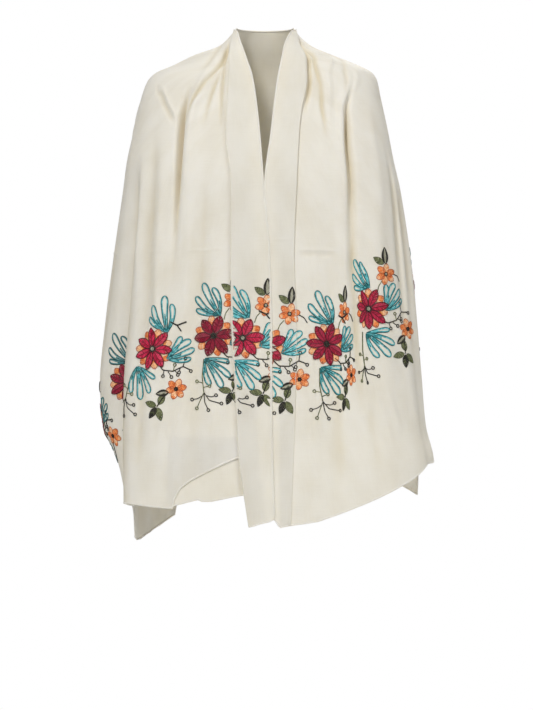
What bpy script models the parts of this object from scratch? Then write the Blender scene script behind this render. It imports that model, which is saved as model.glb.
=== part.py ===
"""Long embroidered scarf, worn open round the neck and shoulders like a cape.

Metres, +Z up, front towards -Y, the wearer's right side at -X.  The origin is the
middle of the base of the neck, level with the shoulders that carry the cloth.

The cloth hangs as one half on each side.  A point of a half is given by a place
round it and by its drop below the origin.  The places are counted along lines that
run from the neck to the hem:
    0 inner edge, 1 edge of the folded margin, 2 fold at the armpit, 3 fold at the
    front of the arm (turned back on itself up to 3.2), 4 outermost line of the arm,
    5 line over the shoulder blade, 6 middle of the back.
"""
import bpy
import numpy as np

WALL = 0.0016            # thickness of the cloth as it is built
SEAM = 0.0003            # clearance between neighbouring stretches
MARGIN_ROLL = 0.00245    # radius at which the front margin turns under
TOP = -0.048             # drop of the neck edge, which stands above the shoulders
TOP_DIP = 0.010          # how much lower the neck edge starts at the front margins
TOP_DIP_END = 2.5        # line place at which the neck edge is back at its full height
LEAST_ANGLE = 0.10       # least angle between two lines, where they gather at the neck
WIDEST_SHARE = 0.999     # lines given by a distance stay inside this share of the half width

# Places of the lines that are named above.
MARGIN, ARMPIT, PLEAT, PLEAT_END, OUTERMOST, BLADE, MIDDLE = 1.0, 2.0, 3.0, 3.2, 4.0, 5.0, 6.0

# Steps over which the directions of the cloth are measured.
STEP_PLACE = 0.002
STEP_DROP = 0.0005

CREAM = (0.86, 0.82, 0.72, 1.0)
ROUGHNESS = 0.85
SHARP_ANGLE = 1.0        # edges sharper than this, in radians, are shaded sharp

# Level sections of the worn cloth: half widths to either side and depths to the
# front and the back of the neck's middle, and how square the section is.
SECTION_COLUMNS = ("drop", "left", "right", "front", "back", "square")
SECTIONS = (
    (-0.048, 0.053, 0.055, 0.053, 0.056, 2.00),
    (-0.033, 0.066, 0.067, 0.057, 0.063, 2.00),
    (-0.013, 0.090, 0.092, 0.062, 0.072, 2.00),
    (0.002, 0.132, 0.128, 0.069, 0.080, 2.00),
    (0.022, 0.173, 0.178, 0.079, 0.090, 2.05),
    (0.037, 0.207, 0.205, 0.086, 0.096, 2.10),
    (0.052, 0.221, 0.213, 0.092, 0.101, 2.15),
    (0.081, 0.232, 0.219, 0.102, 0.108, 2.20),
    (0.146, 0.247, 0.233, 0.122, 0.116, 2.30),
    (0.205, 0.260, 0.244, 0.138, 0.121, 2.40),
    (0.257, 0.267, 0.255, 0.147, 0.124, 2.45),
    (0.387, 0.286, 0.273, 0.153, 0.130, 2.50),
    (0.503, 0.301, 0.285, 0.157, 0.136, 2.50),
    (0.614, 0.312, 0.295, 0.161, 0.141, 2.50),
    (0.703, 0.314, 0.304, 0.164, 0.145, 2.50),
    (0.768, 0.315, 0.319, 0.167, 0.149, 2.50),
    (0.912, 0.315, 0.322, 0.172, 0.156, 2.50),
)

# Where the lines lie, as distances out from the middle; "drawn_in" is how much
# narrower the layer behind the arm fold hangs, down to the hanging corner.
LINE_COLUMNS = ("drop", "inner", "margin", "armpit", "arm_fold", "drawn_in", "blade")
LINES = {
    "left": (
        (-0.048, 0.0505, 0.0520, 0.0527, 0.0530, 0.000, 0.046),
        (-0.013, 0.0435, 0.0610, 0.0850, 0.0890, 0.000, 0.072),
        (0.017, 0.0342, 0.0640, 0.1020, 0.1600, 0.000, 0.100),
        (0.052, 0.0231, 0.0655, 0.1230, 0.2120, 0.000, 0.125),
        (0.115, 0.0139, 0.0680, 0.1434, 0.2230, 0.000, 0.140),
        (0.157, 0.0096, 0.0694, 0.1480, 0.2290, 0.000, 0.148),
        (0.257, 0.0018, 0.0601, 0.1540, 0.2330, 0.000, 0.154),
        (0.379, -0.0083, 0.0601, 0.1600, 0.2440, 0.000, 0.160),
        (0.527, -0.0120, 0.0583, 0.1680, 0.2580, 0.000, 0.165),
        (0.614, -0.0120, 0.0530, 0.1740, 0.2650, 0.000, 0.166),
        (0.703, -0.0128, 0.0480, 0.1780, 0.2670, 0.009, 0.166),
        (0.757, -0.0139, 0.0453, 0.1800, 0.2672, 0.034, 0.166),
        (0.799, -0.0152, 0.0400, 0.1825, 0.2660, 0.051, 0.166),
        (0.849, -0.0168, 0.0324, 0.1850, 0.2655, 0.073, 0.166),
        (0.912, -0.0190, 0.0230, 0.1880, 0.2655, 0.074, 0.166),
    ),
    "right": (
        (-0.048, 0.0527, 0.0540, 0.0547, 0.0549, 0.000, 0.047),
        (-0.013, 0.0379, 0.0638, 0.0850, 0.0905, 0.000, 0.072),
        (0.017, 0.0324, 0.0770, 0.1500, 0.1640, 0.000, 0.100),
        (0.052, 0.0255, 0.0777, 0.1619, 0.2063, 0.000, 0.125),
        (0.115, 0.0172, 0.0666, 0.1489, 0.2155, 0.000, 0.138),
        (0.157, 0.0126, 0.0620, 0.1489, 0.2240, 0.000, 0.146),
        (0.257, 0.0010, 0.0573, 0.1545, 0.2451, 0.000, 0.156),
        (0.379, 0.0093, 0.0533, 0.1539, 0.2581, 0.000, 0.166),
        (0.527, 0.0130, 0.0583, 0.1563, 0.2710, 0.000, 0.178),
        (0.614, 0.0130, 0.0570, 0.1600, 0.2800, 0.000, 0.184),
        (0.703, 0.0138, 0.0545, 0.1640, 0.2900, 0.000, 0.188),
        (0.757, 0.0149, 0.0525, 0.1665, 0.3010, 0.000, 0.190),
        (0.799, 0.0162, 0.0510, 0.1680, 0.3070, 0.000, 0.190),
        (0.849, 0.0178, 0.0490, 0.1700, 0.3080, 0.000, 0.190),
        (0.912, 0.0200, 0.0463, 0.1720, 0.3080, 0.000, 0.190),
    ),
}

# The pleat at the front of the arm: its length along the cloth, how far it folds
# over, and how far the layer behind it lies below the one in front.
PLEAT_COLUMNS = ("drop", "length", "over", "sink")
PLEATS = {
    "left": (
        (-0.048, 0.002, 0.000, 0.000),
        (0.040, 0.012, 0.000, 0.000),
        (0.190, 0.016, 0.000, 0.000),
        (0.290, 0.016, 0.001, 0.012),
        (0.370, 0.016, 0.005, 0.020),
        (0.520, 0.016, 0.018, 0.025),
        (0.912, 0.016, 0.018, 0.025),
    ),
    "right": (
        (-0.048, 0.002, 0.000, 0.000),
        (0.040, 0.012, 0.000, 0.000),
        (0.912, 0.016, 0.000, 0.004),
    ),
}

# Main folds: the line place at the fold's top and foot, its half width in line
# places, the drops where it starts, is fullest and ends, and its height.
FOLD_COLUMNS = ("top", "foot", "half_width", "start", "full", "end", "height")
FOLDS = {
    "left": (
        (1.42, 1.58, 0.14, -0.030, 0.030, 0.130, -0.0025),
        (1.12, 1.26, 0.10, -0.010, 0.060, 0.150, -0.0030),
        (1.88, 1.88, 0.13, -0.020, 0.130, 0.460, 0.0060),
        (2.08, 2.07, 0.055, 0.050, 0.150, 0.460, -0.0190),
        (2.42, 2.40, 0.14, 0.120, 0.400, 0.860, 0.0060),
        (2.66, 2.70, 0.11, 0.120, 0.330, 0.860, -0.0050),
        (1.30, 1.28, 0.14, 0.200, 0.550, 0.950, 0.0045),
        (1.60, 1.62, 0.14, 0.220, 0.600, 0.950, -0.0045),
        (3.55, 3.50, 0.16, 0.120, 0.450, 0.950, 0.0060),
        (4.30, 4.25, 0.22, 0.080, 0.600, 1.200, -0.0080),
        (4.75, 4.70, 0.20, 0.060, 0.650, 1.200, 0.0110),
        (5.20, 5.15, 0.20, 0.050, 0.600, 1.200, -0.0120),
        (5.58, 5.55, 0.17, 0.080, 0.550, 1.200, 0.0100),
    ),
    "right": (
        (1.08, 1.34, 0.12, -0.010, 0.060, 0.160, -0.0035),
        (1.90, 1.90, 0.12, 0.000, 0.140, 0.480, 0.0055),
        (2.05, 2.06, 0.055, 0.050, 0.160, 0.480, -0.0170),
        (2.45, 2.42, 0.16, 0.150, 0.420, 0.860, 0.0060),
        (2.98, 2.90, 0.10, 0.150, 0.330, 0.620, -0.0080),
        (1.35, 1.34, 0.14, 0.220, 0.500, 0.950, 0.0040),
        (1.66, 1.66, 0.13, 0.220, 0.600, 0.950, -0.0040),
        (3.60, 3.55, 0.18, 0.120, 0.450, 0.950, 0.0050),
        (4.35, 4.30, 0.22, 0.080, 0.600, 1.200, 0.0090),
        (4.80, 4.85, 0.20, 0.060, 0.650, 1.200, -0.0110),
        (5.30, 5.28, 0.20, 0.050, 0.600, 1.200, 0.0120),
        (5.62, 5.60, 0.15, 0.080, 0.550, 1.200, -0.0090),
    ),
}

# Lower edges, as the drop at each line place.
HEMS = {
    "left": (
        (0.00, 0.750), (1.04, 0.757), (1.23, 0.770), (1.46, 0.786), (1.62, 0.797), (1.77, 0.812),
        (1.85, 0.831), (1.875, 0.849), (2.30, 0.847), (3.00, 0.842), (3.20, 0.842), (3.70, 0.850),
        (3.90, 0.905), (4.08, 0.912), (5.00, 0.864), (5.02, 0.835), (5.50, 0.720), (6.00, 0.650),
    ),
    "right": (
        (0.00, 0.872), (0.50, 0.882), (1.00, 0.880), (1.35, 0.873), (2.00, 0.847), (2.46, 0.812),
        (3.00, 0.774), (3.20, 0.770), (4.00, 0.768), (4.50, 0.765), (4.54, 0.827), (5.00, 0.782),
        (5.02, 0.775), (5.50, 0.705), (6.00, 0.650),
    ),
}
MARGIN_HEMS = {
    "left": ((0.0, 0.870), (1.0, 0.884)),
    "right": ((0.0, 0.8715), (0.5, 0.8825), (1.0, 0.880)),
}
UNDER_HEM = ((0.30, 0.823), (1.04, 0.825), (1.36, 0.836), (1.48, 0.836), (1.52, 0.8325), (1.95, 0.848))

# Drops of the rows of a full length stretch, before they are fitted to its hem, and
# the drop from which they are.
STRETCH_FROM = 0.180
ROW_DROPS = (
    -0.048, -0.041, -0.034, -0.027, -0.021, -0.015, -0.010, -0.005, 0.000, 0.005, 0.011, 0.018, 0.026,
    0.035, 0.046, 0.060, 0.082, 0.110, 0.143, 0.180, 0.220, 0.264, 0.314, 0.372, 0.440, 0.515, 0.595,
    0.675, 0.750, 0.812, 0.870,
)
# A stretch from the shoulder to the hem is parted at these rows, where the cloth turns
# from lying on the shoulders to hanging, and half way down.
PART_DROPS = (0.180, 0.515)
PART_NAMES = ("upper", "middle", "lower")

FRONT_PLACES = {
    "left": (0.30, 0.65, 1.00, 1.23, 1.46, 1.62, 1.77, 1.85, 1.90, 1.98, 2.03, 2.08, 2.13, 2.20,
             2.40, 2.66, 2.86, 3.00, 3.025, 3.05, 3.075, 3.10),
    "right": (0.30, 0.65, 1.00, 1.18, 1.35, 1.50, 1.66, 1.80, 1.90, 1.97, 2.02, 2.06, 2.10, 2.17,
              2.42, 2.66, 2.84, 2.94, 3.03, 3.10),
}
SIDE_PLACES = {
    "left": (3.10, 3.125, 3.15, 3.175, 3.20, 3.35, 3.53, 3.72, 3.86, 4.00, 4.14, 4.32, 4.52, 4.75, 5.00),
    "right": (3.10, 3.20, 3.40, 3.60, 3.80, 4.00, 4.18, 4.34, 4.50, 4.54, 4.68, 4.84, 5.00),
}
BACK_PLACES = (5.00, 5.15, 5.32, 5.50, 5.68, 5.84, 6.00)
MARGIN_PLACES = (0.00, 0.50, 1.00)
MARGIN_TURN = (50, 0, -50)              # degrees at which the turned edge is built
MARGIN_RETURN = (1.00, 0.65, 0.30)      # the turned margin runs back underneath
FREE_ROWS = 3            # rows of the left margin that hang free below the front's hem
UNDER_PLACES = (0.30, 0.65, 1.00, 1.23, 1.46, 1.62, 1.77, 1.85, 1.90, 1.98)
UNDER_TOP = 0.720        # drop at which the layer behind the raised hem starts
UNDER_ROWS = 7
UNDER_LIFT = -0.0022     # how far that layer lies below the front's outer face


def column(rows, columns, name, drop):
    """Value of a table's column at each drop, on a smooth curve through its rows."""
    data = np.array(rows)
    knots, values = data[:, 0], data[:, columns.index(name)]
    spans = np.diff(knots)
    rises = np.diff(values) / spans
    slopes = np.concatenate(([rises[0]], np.zeros(len(rises) - 1), [rises[-1]]))
    same_way = rises[:-1] * rises[1:] > 0
    both = rises[:-1][same_way] + rises[1:][same_way]
    slopes[1:-1][same_way] = 2 * rises[:-1][same_way] * rises[1:][same_way] / both
    at = np.clip(drop, knots[0], knots[-1])
    k = np.clip(np.searchsorted(knots, at, side="right") - 1, 0, len(spans) - 1)
    t = (at - knots[k]) / spans[k]
    left_part = (1 + 2 * t) * (1 - t) ** 2 * values[k] + t * (1 - t) ** 2 * spans[k] * slopes[k]
    right_part = t ** 2 * (3 - 2 * t) * values[k + 1] + t ** 2 * (t - 1) * spans[k] * slopes[k + 1]
    return left_part + right_part


def ease(t):
    t = np.clip(t, 0, 1)
    return t * t * (3 - 2 * t)


def power(value, exponent):
    """Power of a number's size, with its sign kept."""
    return np.sign(value) * np.abs(value) ** exponent


def between(place, start, end):
    """How far a place lies from one line place to another, from 0 to 1."""
    return np.clip((place - start) / (end - start), 0, 1)


def fold_height(side, place, drop):
    """Height of the main folds above the plain section."""
    height = np.zeros(np.broadcast(place, drop).shape)
    for row in FOLDS[side]:
        fold = dict(zip(FOLD_COLUMNS, row))
        middle = fold["top"] + (fold["foot"] - fold["top"]) * between(drop, fold["start"], fold["end"])
        grown = ease(between(drop, fold["start"], fold["full"]))
        left_over = 1 - ease(between(drop, fold["full"], fold["end"]))
        across = np.exp(-((place - middle) / fold["half_width"]) ** 2)
        height += fold["height"] * grown * left_over * across
    return height


def section_sizes(side, place, drop):
    """Half width, depth and squareness of the section at a line place."""
    drawn_in = column(LINES[side], LINE_COLUMNS, "drawn_in", drop)
    narrowing = drawn_in * ease(between(place, PLEAT_END, OUTERMOST))
    width = column(SECTIONS, SECTION_COLUMNS, side, drop) - narrowing
    front = column(SECTIONS, SECTION_COLUMNS, "front", drop)
    back = column(SECTIONS, SECTION_COLUMNS, "back", drop)
    square = column(SECTIONS, SECTION_COLUMNS, "square", drop)
    return width, front, back, square


def line_angle(side, place, drop):
    """Angle round the section, from the front, of a line place."""
    wide = column(SECTIONS, SECTION_COLUMNS, side, drop)
    front = column(SECTIONS, SECTION_COLUMNS, "front", drop)
    square = column(SECTIONS, SECTION_COLUMNS, "square", drop)

    def front_angle(name, width):
        share = column(LINES[side], LINE_COLUMNS, name, drop) / width
        return np.arcsin(power(np.clip(share, -WIDEST_SHARE, WIDEST_SHARE), square / 2))

    length = column(PLEATS[side], PLEAT_COLUMNS, "length", drop)
    over = column(PLEATS[side], PLEAT_COLUMNS, "over", drop)
    inner = front_angle("inner", wide)
    margin = np.maximum(front_angle("margin", wide), inner + LEAST_ANGLE)
    armpit = np.maximum(front_angle("armpit", wide), margin + LEAST_ANGLE)
    fold = np.maximum(front_angle("arm_fold", wide), armpit + LEAST_ANGLE)
    speed = np.hypot(wide * np.cos(fold), front * np.sin(fold))
    pleat_start = np.maximum(fold - (length / 4 + over) / speed, armpit + LEAST_ANGLE / 2)
    pleat_end = pleat_start + length / speed
    outermost = np.maximum(np.pi / 2, pleat_end + LEAST_ANGLE)
    behind = np.pi - front_angle("blade", wide - column(LINES[side], LINE_COLUMNS, "drawn_in", drop))
    blade = np.maximum(behind, outermost + LEAST_ANGLE)

    turn = between(place, PLEAT, PLEAT_END)
    angle = inner + (margin - inner) * between(place, 0, MARGIN)
    angle = angle + (armpit - margin) * between(place, MARGIN, ARMPIT)
    angle = angle + (pleat_start - armpit) * between(place, ARMPIT, PLEAT)
    angle = angle + (length * turn + over * np.sin(2 * np.pi * turn)) / speed
    angle = angle + (outermost - pleat_end) * between(place, PLEAT_END, OUTERMOST)
    angle = angle + (blade - outermost) * between(place, OUTERMOST, BLADE)
    return angle + (np.pi - blade) * between(place, BLADE, MIDDLE)


def outward(side, place, drop, angle):
    """Direction straight out of the plain section."""
    width, front, back, square = section_sizes(side, place, drop)
    next_width, next_front, next_back, _ = section_sizes(side, place, drop + STEP_DROP)
    faces_front = np.cos(angle) >= 0
    depth = np.where(faces_front, front, back)
    widening = (next_width - width) / STEP_DROP
    deepening = (np.where(faces_front, next_front, next_back) - depth) / STEP_DROP
    x_share = power(np.sin(angle), 2 / square)
    y_share = -power(np.cos(angle), 2 / square)
    x = power(x_share, square - 1) / width
    y = power(y_share, square - 1) / depth
    z = (np.abs(x_share) ** square * widening / width
         + np.abs(y_share) ** square * deepening / depth)
    direction = np.stack([x, y, z], axis=-1)
    return direction / np.linalg.norm(direction, axis=-1, keepdims=True)


def cloth(side, place, drop, lift=0.0):
    """Points of the cloth's outer face, lifted straight out of it by a distance."""
    place, drop = np.broadcast_arrays(np.asarray(place, float), np.asarray(drop, float))
    angle = line_angle(side, place, drop)
    width, front, back, square = section_sizes(side, place, drop)
    depth = np.where(np.cos(angle) >= 0, front, back)
    points = np.stack([width * power(np.sin(angle), 2 / square),
                       -depth * power(np.cos(angle), 2 / square), -drop], axis=-1)
    sink = column(PLEATS[side], PLEAT_COLUMNS, "sink", drop)
    sunk = sink * between(place, PLEAT, PLEAT_END) * (1 - ease(between(place, PLEAT_END, OUTERMOST)))
    height = fold_height(side, place, drop) - sunk + lift
    points = points + height[..., None] * outward(side, place, drop, angle)
    if side == "left":
        points[..., 0] *= -1
    return points


def face_direction(side, place, drop, lift=0.0):
    """Direction straight out of the folded cloth."""
    across = (cloth(side, place + STEP_PLACE, drop, lift)
              - cloth(side, np.maximum(place - STEP_PLACE, 0), drop, lift))
    down = cloth(side, place, drop + STEP_DROP, lift) - cloth(side, place, drop - STEP_DROP, lift)
    direction = np.cross(down, across) if side == "right" else np.cross(across, down)
    return direction / np.linalg.norm(direction, axis=-1, keepdims=True)


def hem_drop(hem, places):
    return np.interp(places, [place for place, _ in hem], [drop for _, drop in hem])


def fitted_rows(places, hem):
    """Drops of every row at every place: level at the shoulders, stretched to the hem."""
    rows = np.array(ROW_DROPS)[:, None]
    stretch = between(rows, STRETCH_FROM, rows[-1])
    dip = TOP_DIP * (1 - ease(between(places, 0, TOP_DIP_END)))
    return rows + stretch * (hem_drop(hem, places) - rows[-1]) + dip * (1 - between(rows, TOP, 0))


def rows_below(drops, places, hem, count):
    """The given rows with more below them, down to another hem."""
    start = drops[-1]
    share = np.arange(1, count + 1)[:, None] / count
    return np.concatenate([drops, start + share * (hem_drop(hem, places) - start)])


def cloth_faces(side, places, drops, lift=0.0):
    """Outer and inner face of a stretch, as rows of points that run outwards."""
    place = np.broadcast_to(np.array(places), drops.shape)
    outer = cloth(side, place, drops, lift)
    inner = outer - WALL * face_direction(side, place, drops, lift)
    return outer, inner


def leave_seam(faces, axis, at_start, at_end):
    """Draw the first or last row (axis 0) or column (axis 1) back by half of the seam's clearance."""
    outer, inner = (np.moveaxis(face, axis, 0).copy() for face in faces)
    for wanted, edge, beside in ((at_start, 0, 1), (at_end, -1, -2)):
        if wanted:
            direction = outer[beside] - outer[edge]
            shift = SEAM / 2 * direction / np.linalg.norm(direction, axis=-1, keepdims=True)
            outer[edge] += shift
            inner[edge] += shift
    return np.moveaxis(outer, 0, axis), np.moveaxis(inner, 0, axis)


def margin_faces(side):
    """Faces and places of the front margin: on top, round the fold, back underneath."""
    turn = np.radians(MARGIN_TURN)
    top_lift = SEAM + 2 * MARGIN_ROLL
    places = np.array(MARGIN_PLACES + (MARGIN,) * len(turn) + MARGIN_RETURN)
    lift = [top_lift] * len(MARGIN_PLACES)
    lift += list(SEAM + MARGIN_ROLL * (1 + np.sin(turn))) + [SEAM] * len(MARGIN_RETURN)
    bulge = [0.0] * len(MARGIN_PLACES) + list(MARGIN_ROLL * np.cos(turn)) + [0.0] * len(MARGIN_RETURN)
    share = (MARGIN_ROLL - WALL) / MARGIN_ROLL
    middle = SEAM + MARGIN_ROLL
    inner_lift = [middle + share * (value - middle) for value in lift]
    inner_bulge = [share * value for value in bulge]

    drops = fitted_rows(places, HEMS[side])
    if side == "left":
        drops = rows_below(drops, places, MARGIN_HEMS[side], FREE_ROWS)
    place = np.broadcast_to(places, drops.shape)
    edge_drops = drops[:, len(MARGIN_PLACES)]
    along = cloth(side, MARGIN, edge_drops) - cloth(side, MARGIN - STEP_PLACE, edge_drops)
    along = along / np.linalg.norm(along, axis=-1, keepdims=True)

    def face(lifts, bulges):
        points = cloth(side, place, drops, np.array(lifts))
        return points + np.array(bulges)[None, :, None] * along[:, None, :]

    return (face(lift, bulge), face(inner_lift, inner_bulge)), places


def add_wall(name, faces, places, mirrored, collection):
    """Closed wall between an outer and an inner face of the same rows and columns.

    Every four-sided cell is cut from its upper inner to its lower outer corner, so
    that walls lying on each other stay parallel.
    """
    outer, inner = faces
    places = np.array(places)
    if mirrored:
        outer, inner, places = outer[:, ::-1], inner[:, ::-1], places[::-1]
    rows, columns = outer.shape[:2]
    count = rows * columns
    index = np.arange(count).reshape(rows, columns)
    triangles = []
    for row in range(rows - 1):
        for col in range(columns - 1):
            a, b = index[row, col], index[row, col + 1]
            c, d = index[row + 1, col + 1], index[row + 1, col]
            outwards = places[col + 1] > places[col]
            cell = ((a, d, c), (a, c, b)) if outwards else ((a, d, b), (b, d, c))
            for i, j, k in cell:
                triangles.append((i, j, k))
                triangles.append((i + count, k + count, j + count))
    rim = list(index[0]) + list(index[1:, -1]) + list(index[-1, -2::-1]) + list(index[-2:0:-1, 0])
    for a, b in zip(rim, rim[1:] + rim[:1]):
        if a < b:
            triangles += [(a, b, b + count), (a, b + count, a + count)]
        else:
            triangles += [(a, b, a + count), (b, b + count, a + count)]
    points = np.concatenate([outer.reshape(-1, 3), inner.reshape(-1, 3)])
    mesh = bpy.data.meshes.new(name)
    mesh.from_pydata(points.tolist(), [], [tuple(int(i) for i in corner) for corner in triangles])
    mesh.materials.append(cloth_material(name))
    mesh.shade_smooth()
    mesh.set_sharp_from_angle(angle=SHARP_ANGLE)
    collection.objects.link(bpy.data.objects.new(name, mesh))


def add_stretch(name, faces, places, mirrored, collection):
    """Stretch from the shoulder to the hem, in its upper, middle and lower part."""
    breaks = [0] + [ROW_DROPS.index(drop) for drop in PART_DROPS] + [len(ROW_DROPS) - 1]
    for part_name, first, last in zip(PART_NAMES, breaks, breaks[1:]):
        rows = tuple(face[first:last + 1] for face in faces)
        rows = leave_seam(rows, 0, first > 0, last < breaks[-1])
        add_wall(name + "_" + part_name, rows, places, mirrored, collection)


def cloth_material(name):
    material = bpy.data.materials.new(name + "_cloth")
    material.use_nodes = True
    shader = material.node_tree.nodes["Principled BSDF"]
    shader.inputs["Base Color"].default_value = CREAM
    shader.inputs["Roughness"].default_value = ROUGHNESS
    shader.inputs["Metallic"].default_value = 0.0
    return material


def add_half(side, collection):
    """Front, arm and margin of one half, named for the wearer's front as it is seen."""
    mirrored = side == "left"
    front_places = np.array(FRONT_PLACES[side])
    front = cloth_faces(side, front_places, fitted_rows(front_places, HEMS[side]))
    front = leave_seam(front, 1, False, True)
    add_stretch(side + "_front", front, front_places, mirrored, collection)

    side_places = np.array(SIDE_PLACES[side])
    arm = cloth_faces(side, side_places, fitted_rows(side_places, HEMS[side]))
    arm = leave_seam(arm, 1, True, True)
    add_stretch(side + "_arm", arm, side_places, mirrored, collection)

    margin, margin_places = margin_faces(side)
    add_wall(side + "_front_margin", margin, margin_places, mirrored, collection)


def add_under_layer(collection):
    """Layer that hangs behind the raised hem of the left front."""
    places = np.array(UNDER_PLACES)
    share = np.linspace(0, 1, UNDER_ROWS)[:, None]
    drops = UNDER_TOP + share * (hem_drop(UNDER_HEM, places) - UNDER_TOP)
    under = cloth_faces("left", places, drops, UNDER_LIFT)
    add_wall("left_under_layer", under, places, True, collection)


def add_back(collection):
    """Back between the lines over the shoulder blades, from left to right."""
    places = np.array(BACK_PLACES)
    halves = []
    for side in ("left", "right"):
        faces = cloth_faces(side, places, fitted_rows(places, HEMS[side]))
        halves.append(leave_seam(faces, 1, True, False))
    joined = tuple(np.concatenate([left, right[:, -2::-1]], axis=1) for left, right in zip(*halves))
    add_stretch("back", joined, np.concatenate([places, places[-2::-1]]), True, collection)


def main():
    for stale in list(bpy.data.objects):
        bpy.data.objects.remove(stale, do_unlink=True)
    scarf = bpy.data.collections.new("scarf")
    bpy.context.scene.collection.children.link(scarf)
    for side in ("left", "right"):
        add_half(side, scarf)
    add_under_layer(scarf)
    add_back(scarf)


main()
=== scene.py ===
import bpy
import numpy as np
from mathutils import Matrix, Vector


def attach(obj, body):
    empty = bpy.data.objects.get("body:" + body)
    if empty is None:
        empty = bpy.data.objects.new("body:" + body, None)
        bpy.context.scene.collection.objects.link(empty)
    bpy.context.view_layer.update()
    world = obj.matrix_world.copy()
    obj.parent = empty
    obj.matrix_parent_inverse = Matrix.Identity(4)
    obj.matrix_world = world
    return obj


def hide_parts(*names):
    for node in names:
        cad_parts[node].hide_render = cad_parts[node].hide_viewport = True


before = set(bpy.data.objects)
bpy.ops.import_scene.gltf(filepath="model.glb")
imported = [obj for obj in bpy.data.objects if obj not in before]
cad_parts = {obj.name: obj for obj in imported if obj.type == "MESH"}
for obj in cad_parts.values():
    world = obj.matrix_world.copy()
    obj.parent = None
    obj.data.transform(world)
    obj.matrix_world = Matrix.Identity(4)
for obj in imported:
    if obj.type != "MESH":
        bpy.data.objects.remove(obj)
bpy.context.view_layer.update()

# Long embroidered scarf, worn open round the neck and shoulders like a cape. The cloth,
# its rolled hems and its flower border are made on the surface that the solids have.
#
# The cloth hangs as one half on each side. A point of a half is given by a place round
# it and by its drop below the base of the neck. The places count lines that run from
# the neck to the hem: 0 inner edge, 1 edge of the folded margin, 2 fold at the armpit,
# 3 fold at the front of the arm (turned back on itself up to 3.2), 4 outermost line of
# the arm, 5 line over the shoulder blade, 6 middle of the back.
#
# Tables give places in lines and lengths in millimetres. All else is in metres.
MARGIN, ARMPIT, PLEAT, PLEAT_END, OUTERMOST, BLADE, MIDDLE = 1.0, 2.0, 3.0, 3.2, 4.0, 5.0, 6.0

CLOTH = 0.0007           # thickness of the cloth with its finish
SEAM = 0.0003            # clearance between layers
TOP = -0.048             # drop of the neck edge, which stands above the shoulders
TOP_DIP = 0.010          # how much lower the neck edge starts at the front margins
TOP_DIP_END = 2.5        # place at which the neck edge is back at its full height
LEAST_ANGLE = 0.06       # least angle between two lines, where they gather at the neck
WIDEST_SHARE = 0.999     # lines given by a distance stay inside this share of the half width
STEP_PLACE, STEP_DROP = 0.002, 0.0005    # steps over which directions are measured

# Radius at which the front margins turn under, by drop.
MARGIN_ROLL = {
    "left": ((-50, 2.45), (930, 2.3)),
    "right": ((-50, 2.45), (250, 2.3), (500, 1), (930, 0.9)),
}

# Level sections of the worn cloth: half widths to either side and depths to the front
# and the back of the neck's middle, and how square the section is.
SECTION_COLUMNS = ("drop", "left", "right", "front", "back", "square")
SECTIONS = (
    (-48, 53, 55, 53, 56, 2),
    (-33, 66, 67, 57, 63, 2),
    (-13, 90, 92, 62, 72, 2),
    (2, 132, 128, 69, 80, 2),
    (22, 173, 178, 79, 90, 2.05),
    (37, 207, 205, 86, 96, 2.1),
    (52, 221, 213, 92, 101, 2.15),
    (81, 232, 219, 102, 108, 2.2),
    (146, 247, 233, 122, 116, 2.3),
    (205, 260, 244, 138, 121, 2.4),
    (257, 267, 255, 147, 124, 2.45),
    (387, 286, 273, 153, 130, 2.5),
    (503, 301, 285, 157, 136, 2.5),
    (614, 312, 295, 161, 141, 2.5),
    (703, 314, 304, 164, 145, 2.5),
    (768, 315, 319, 167, 149, 2.5),
    (912, 315, 322, 172, 156, 2.5),
)

# Where the lines lie, as distances out from the middle; "drawn_in" is how much
# narrower the layer behind the arm fold hangs, down to the hanging corner.
LINE_COLUMNS = ("drop", "inner", "margin", "armpit", "arm_fold", "drawn_in", "blade")
LINES = {
    "left": (
        (-48, 50.5, 52, 52.7, 53, 0, 46),
        (-13, 43.5, 61, 85, 89, 0, 72),
        (17, 34.2, 64, 102, 160, 0, 100),
        (52, 23.1, 65.5, 123, 212, 0, 125),
        (115, 13.9, 68, 143.4, 223, 0, 140),
        (157, 9.6, 69.4, 148, 229, 0, 148),
        (257, 1.8, 60.1, 154, 233, 0, 154),
        (379, -8.3, 60.1, 160, 244, 0, 160),
        (527, -12, 58.3, 168, 258, 0, 165),
        (614, -12, 53, 174, 265, 0, 166),
        (703, -12.8, 48, 178, 267, 9, 166),
        (757, -13.9, 45.3, 180, 267.2, 34, 166),
        (799, -15.2, 40, 182.5, 266, 51, 166),
        (849, -16.8, 32.4, 185, 265.5, 73, 166),
        (912, -19, 23, 188, 265.5, 74, 166),
    ),
    "right": (
        (-48, 52.7, 54, 54.7, 54.9, 0, 47),
        (-13, 37.9, 63.8, 85, 90.5, 0, 72),
        (17, 32.4, 77, 150, 164, 0, 100),
        (52, 25.5, 77.7, 161.9, 206.3, 0, 125),
        (115, 17.2, 66.6, 148.9, 215.5, 0, 138),
        (157, 12.6, 62, 148.9, 224, 0, 146),
        (257, 1, 57.3, 154.5, 245.1, 0, 156),
        (379, 9.3, 53.3, 153.9, 258.1, 0, 166),
        (527, 13, 58.3, 156.3, 271, 0, 178),
        (614, 13, 57, 160, 280, 0, 184),
        (703, 13.8, 54.5, 164, 290, 0, 188),
        (757, 14.9, 52.5, 166.5, 301, 0, 190),
        (799, 16.2, 51, 168, 307, 0, 190),
        (849, 17.8, 49, 170, 308, 0, 190),
        (912, 20, 46.3, 172, 308, 0, 190),
    ),
}

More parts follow.
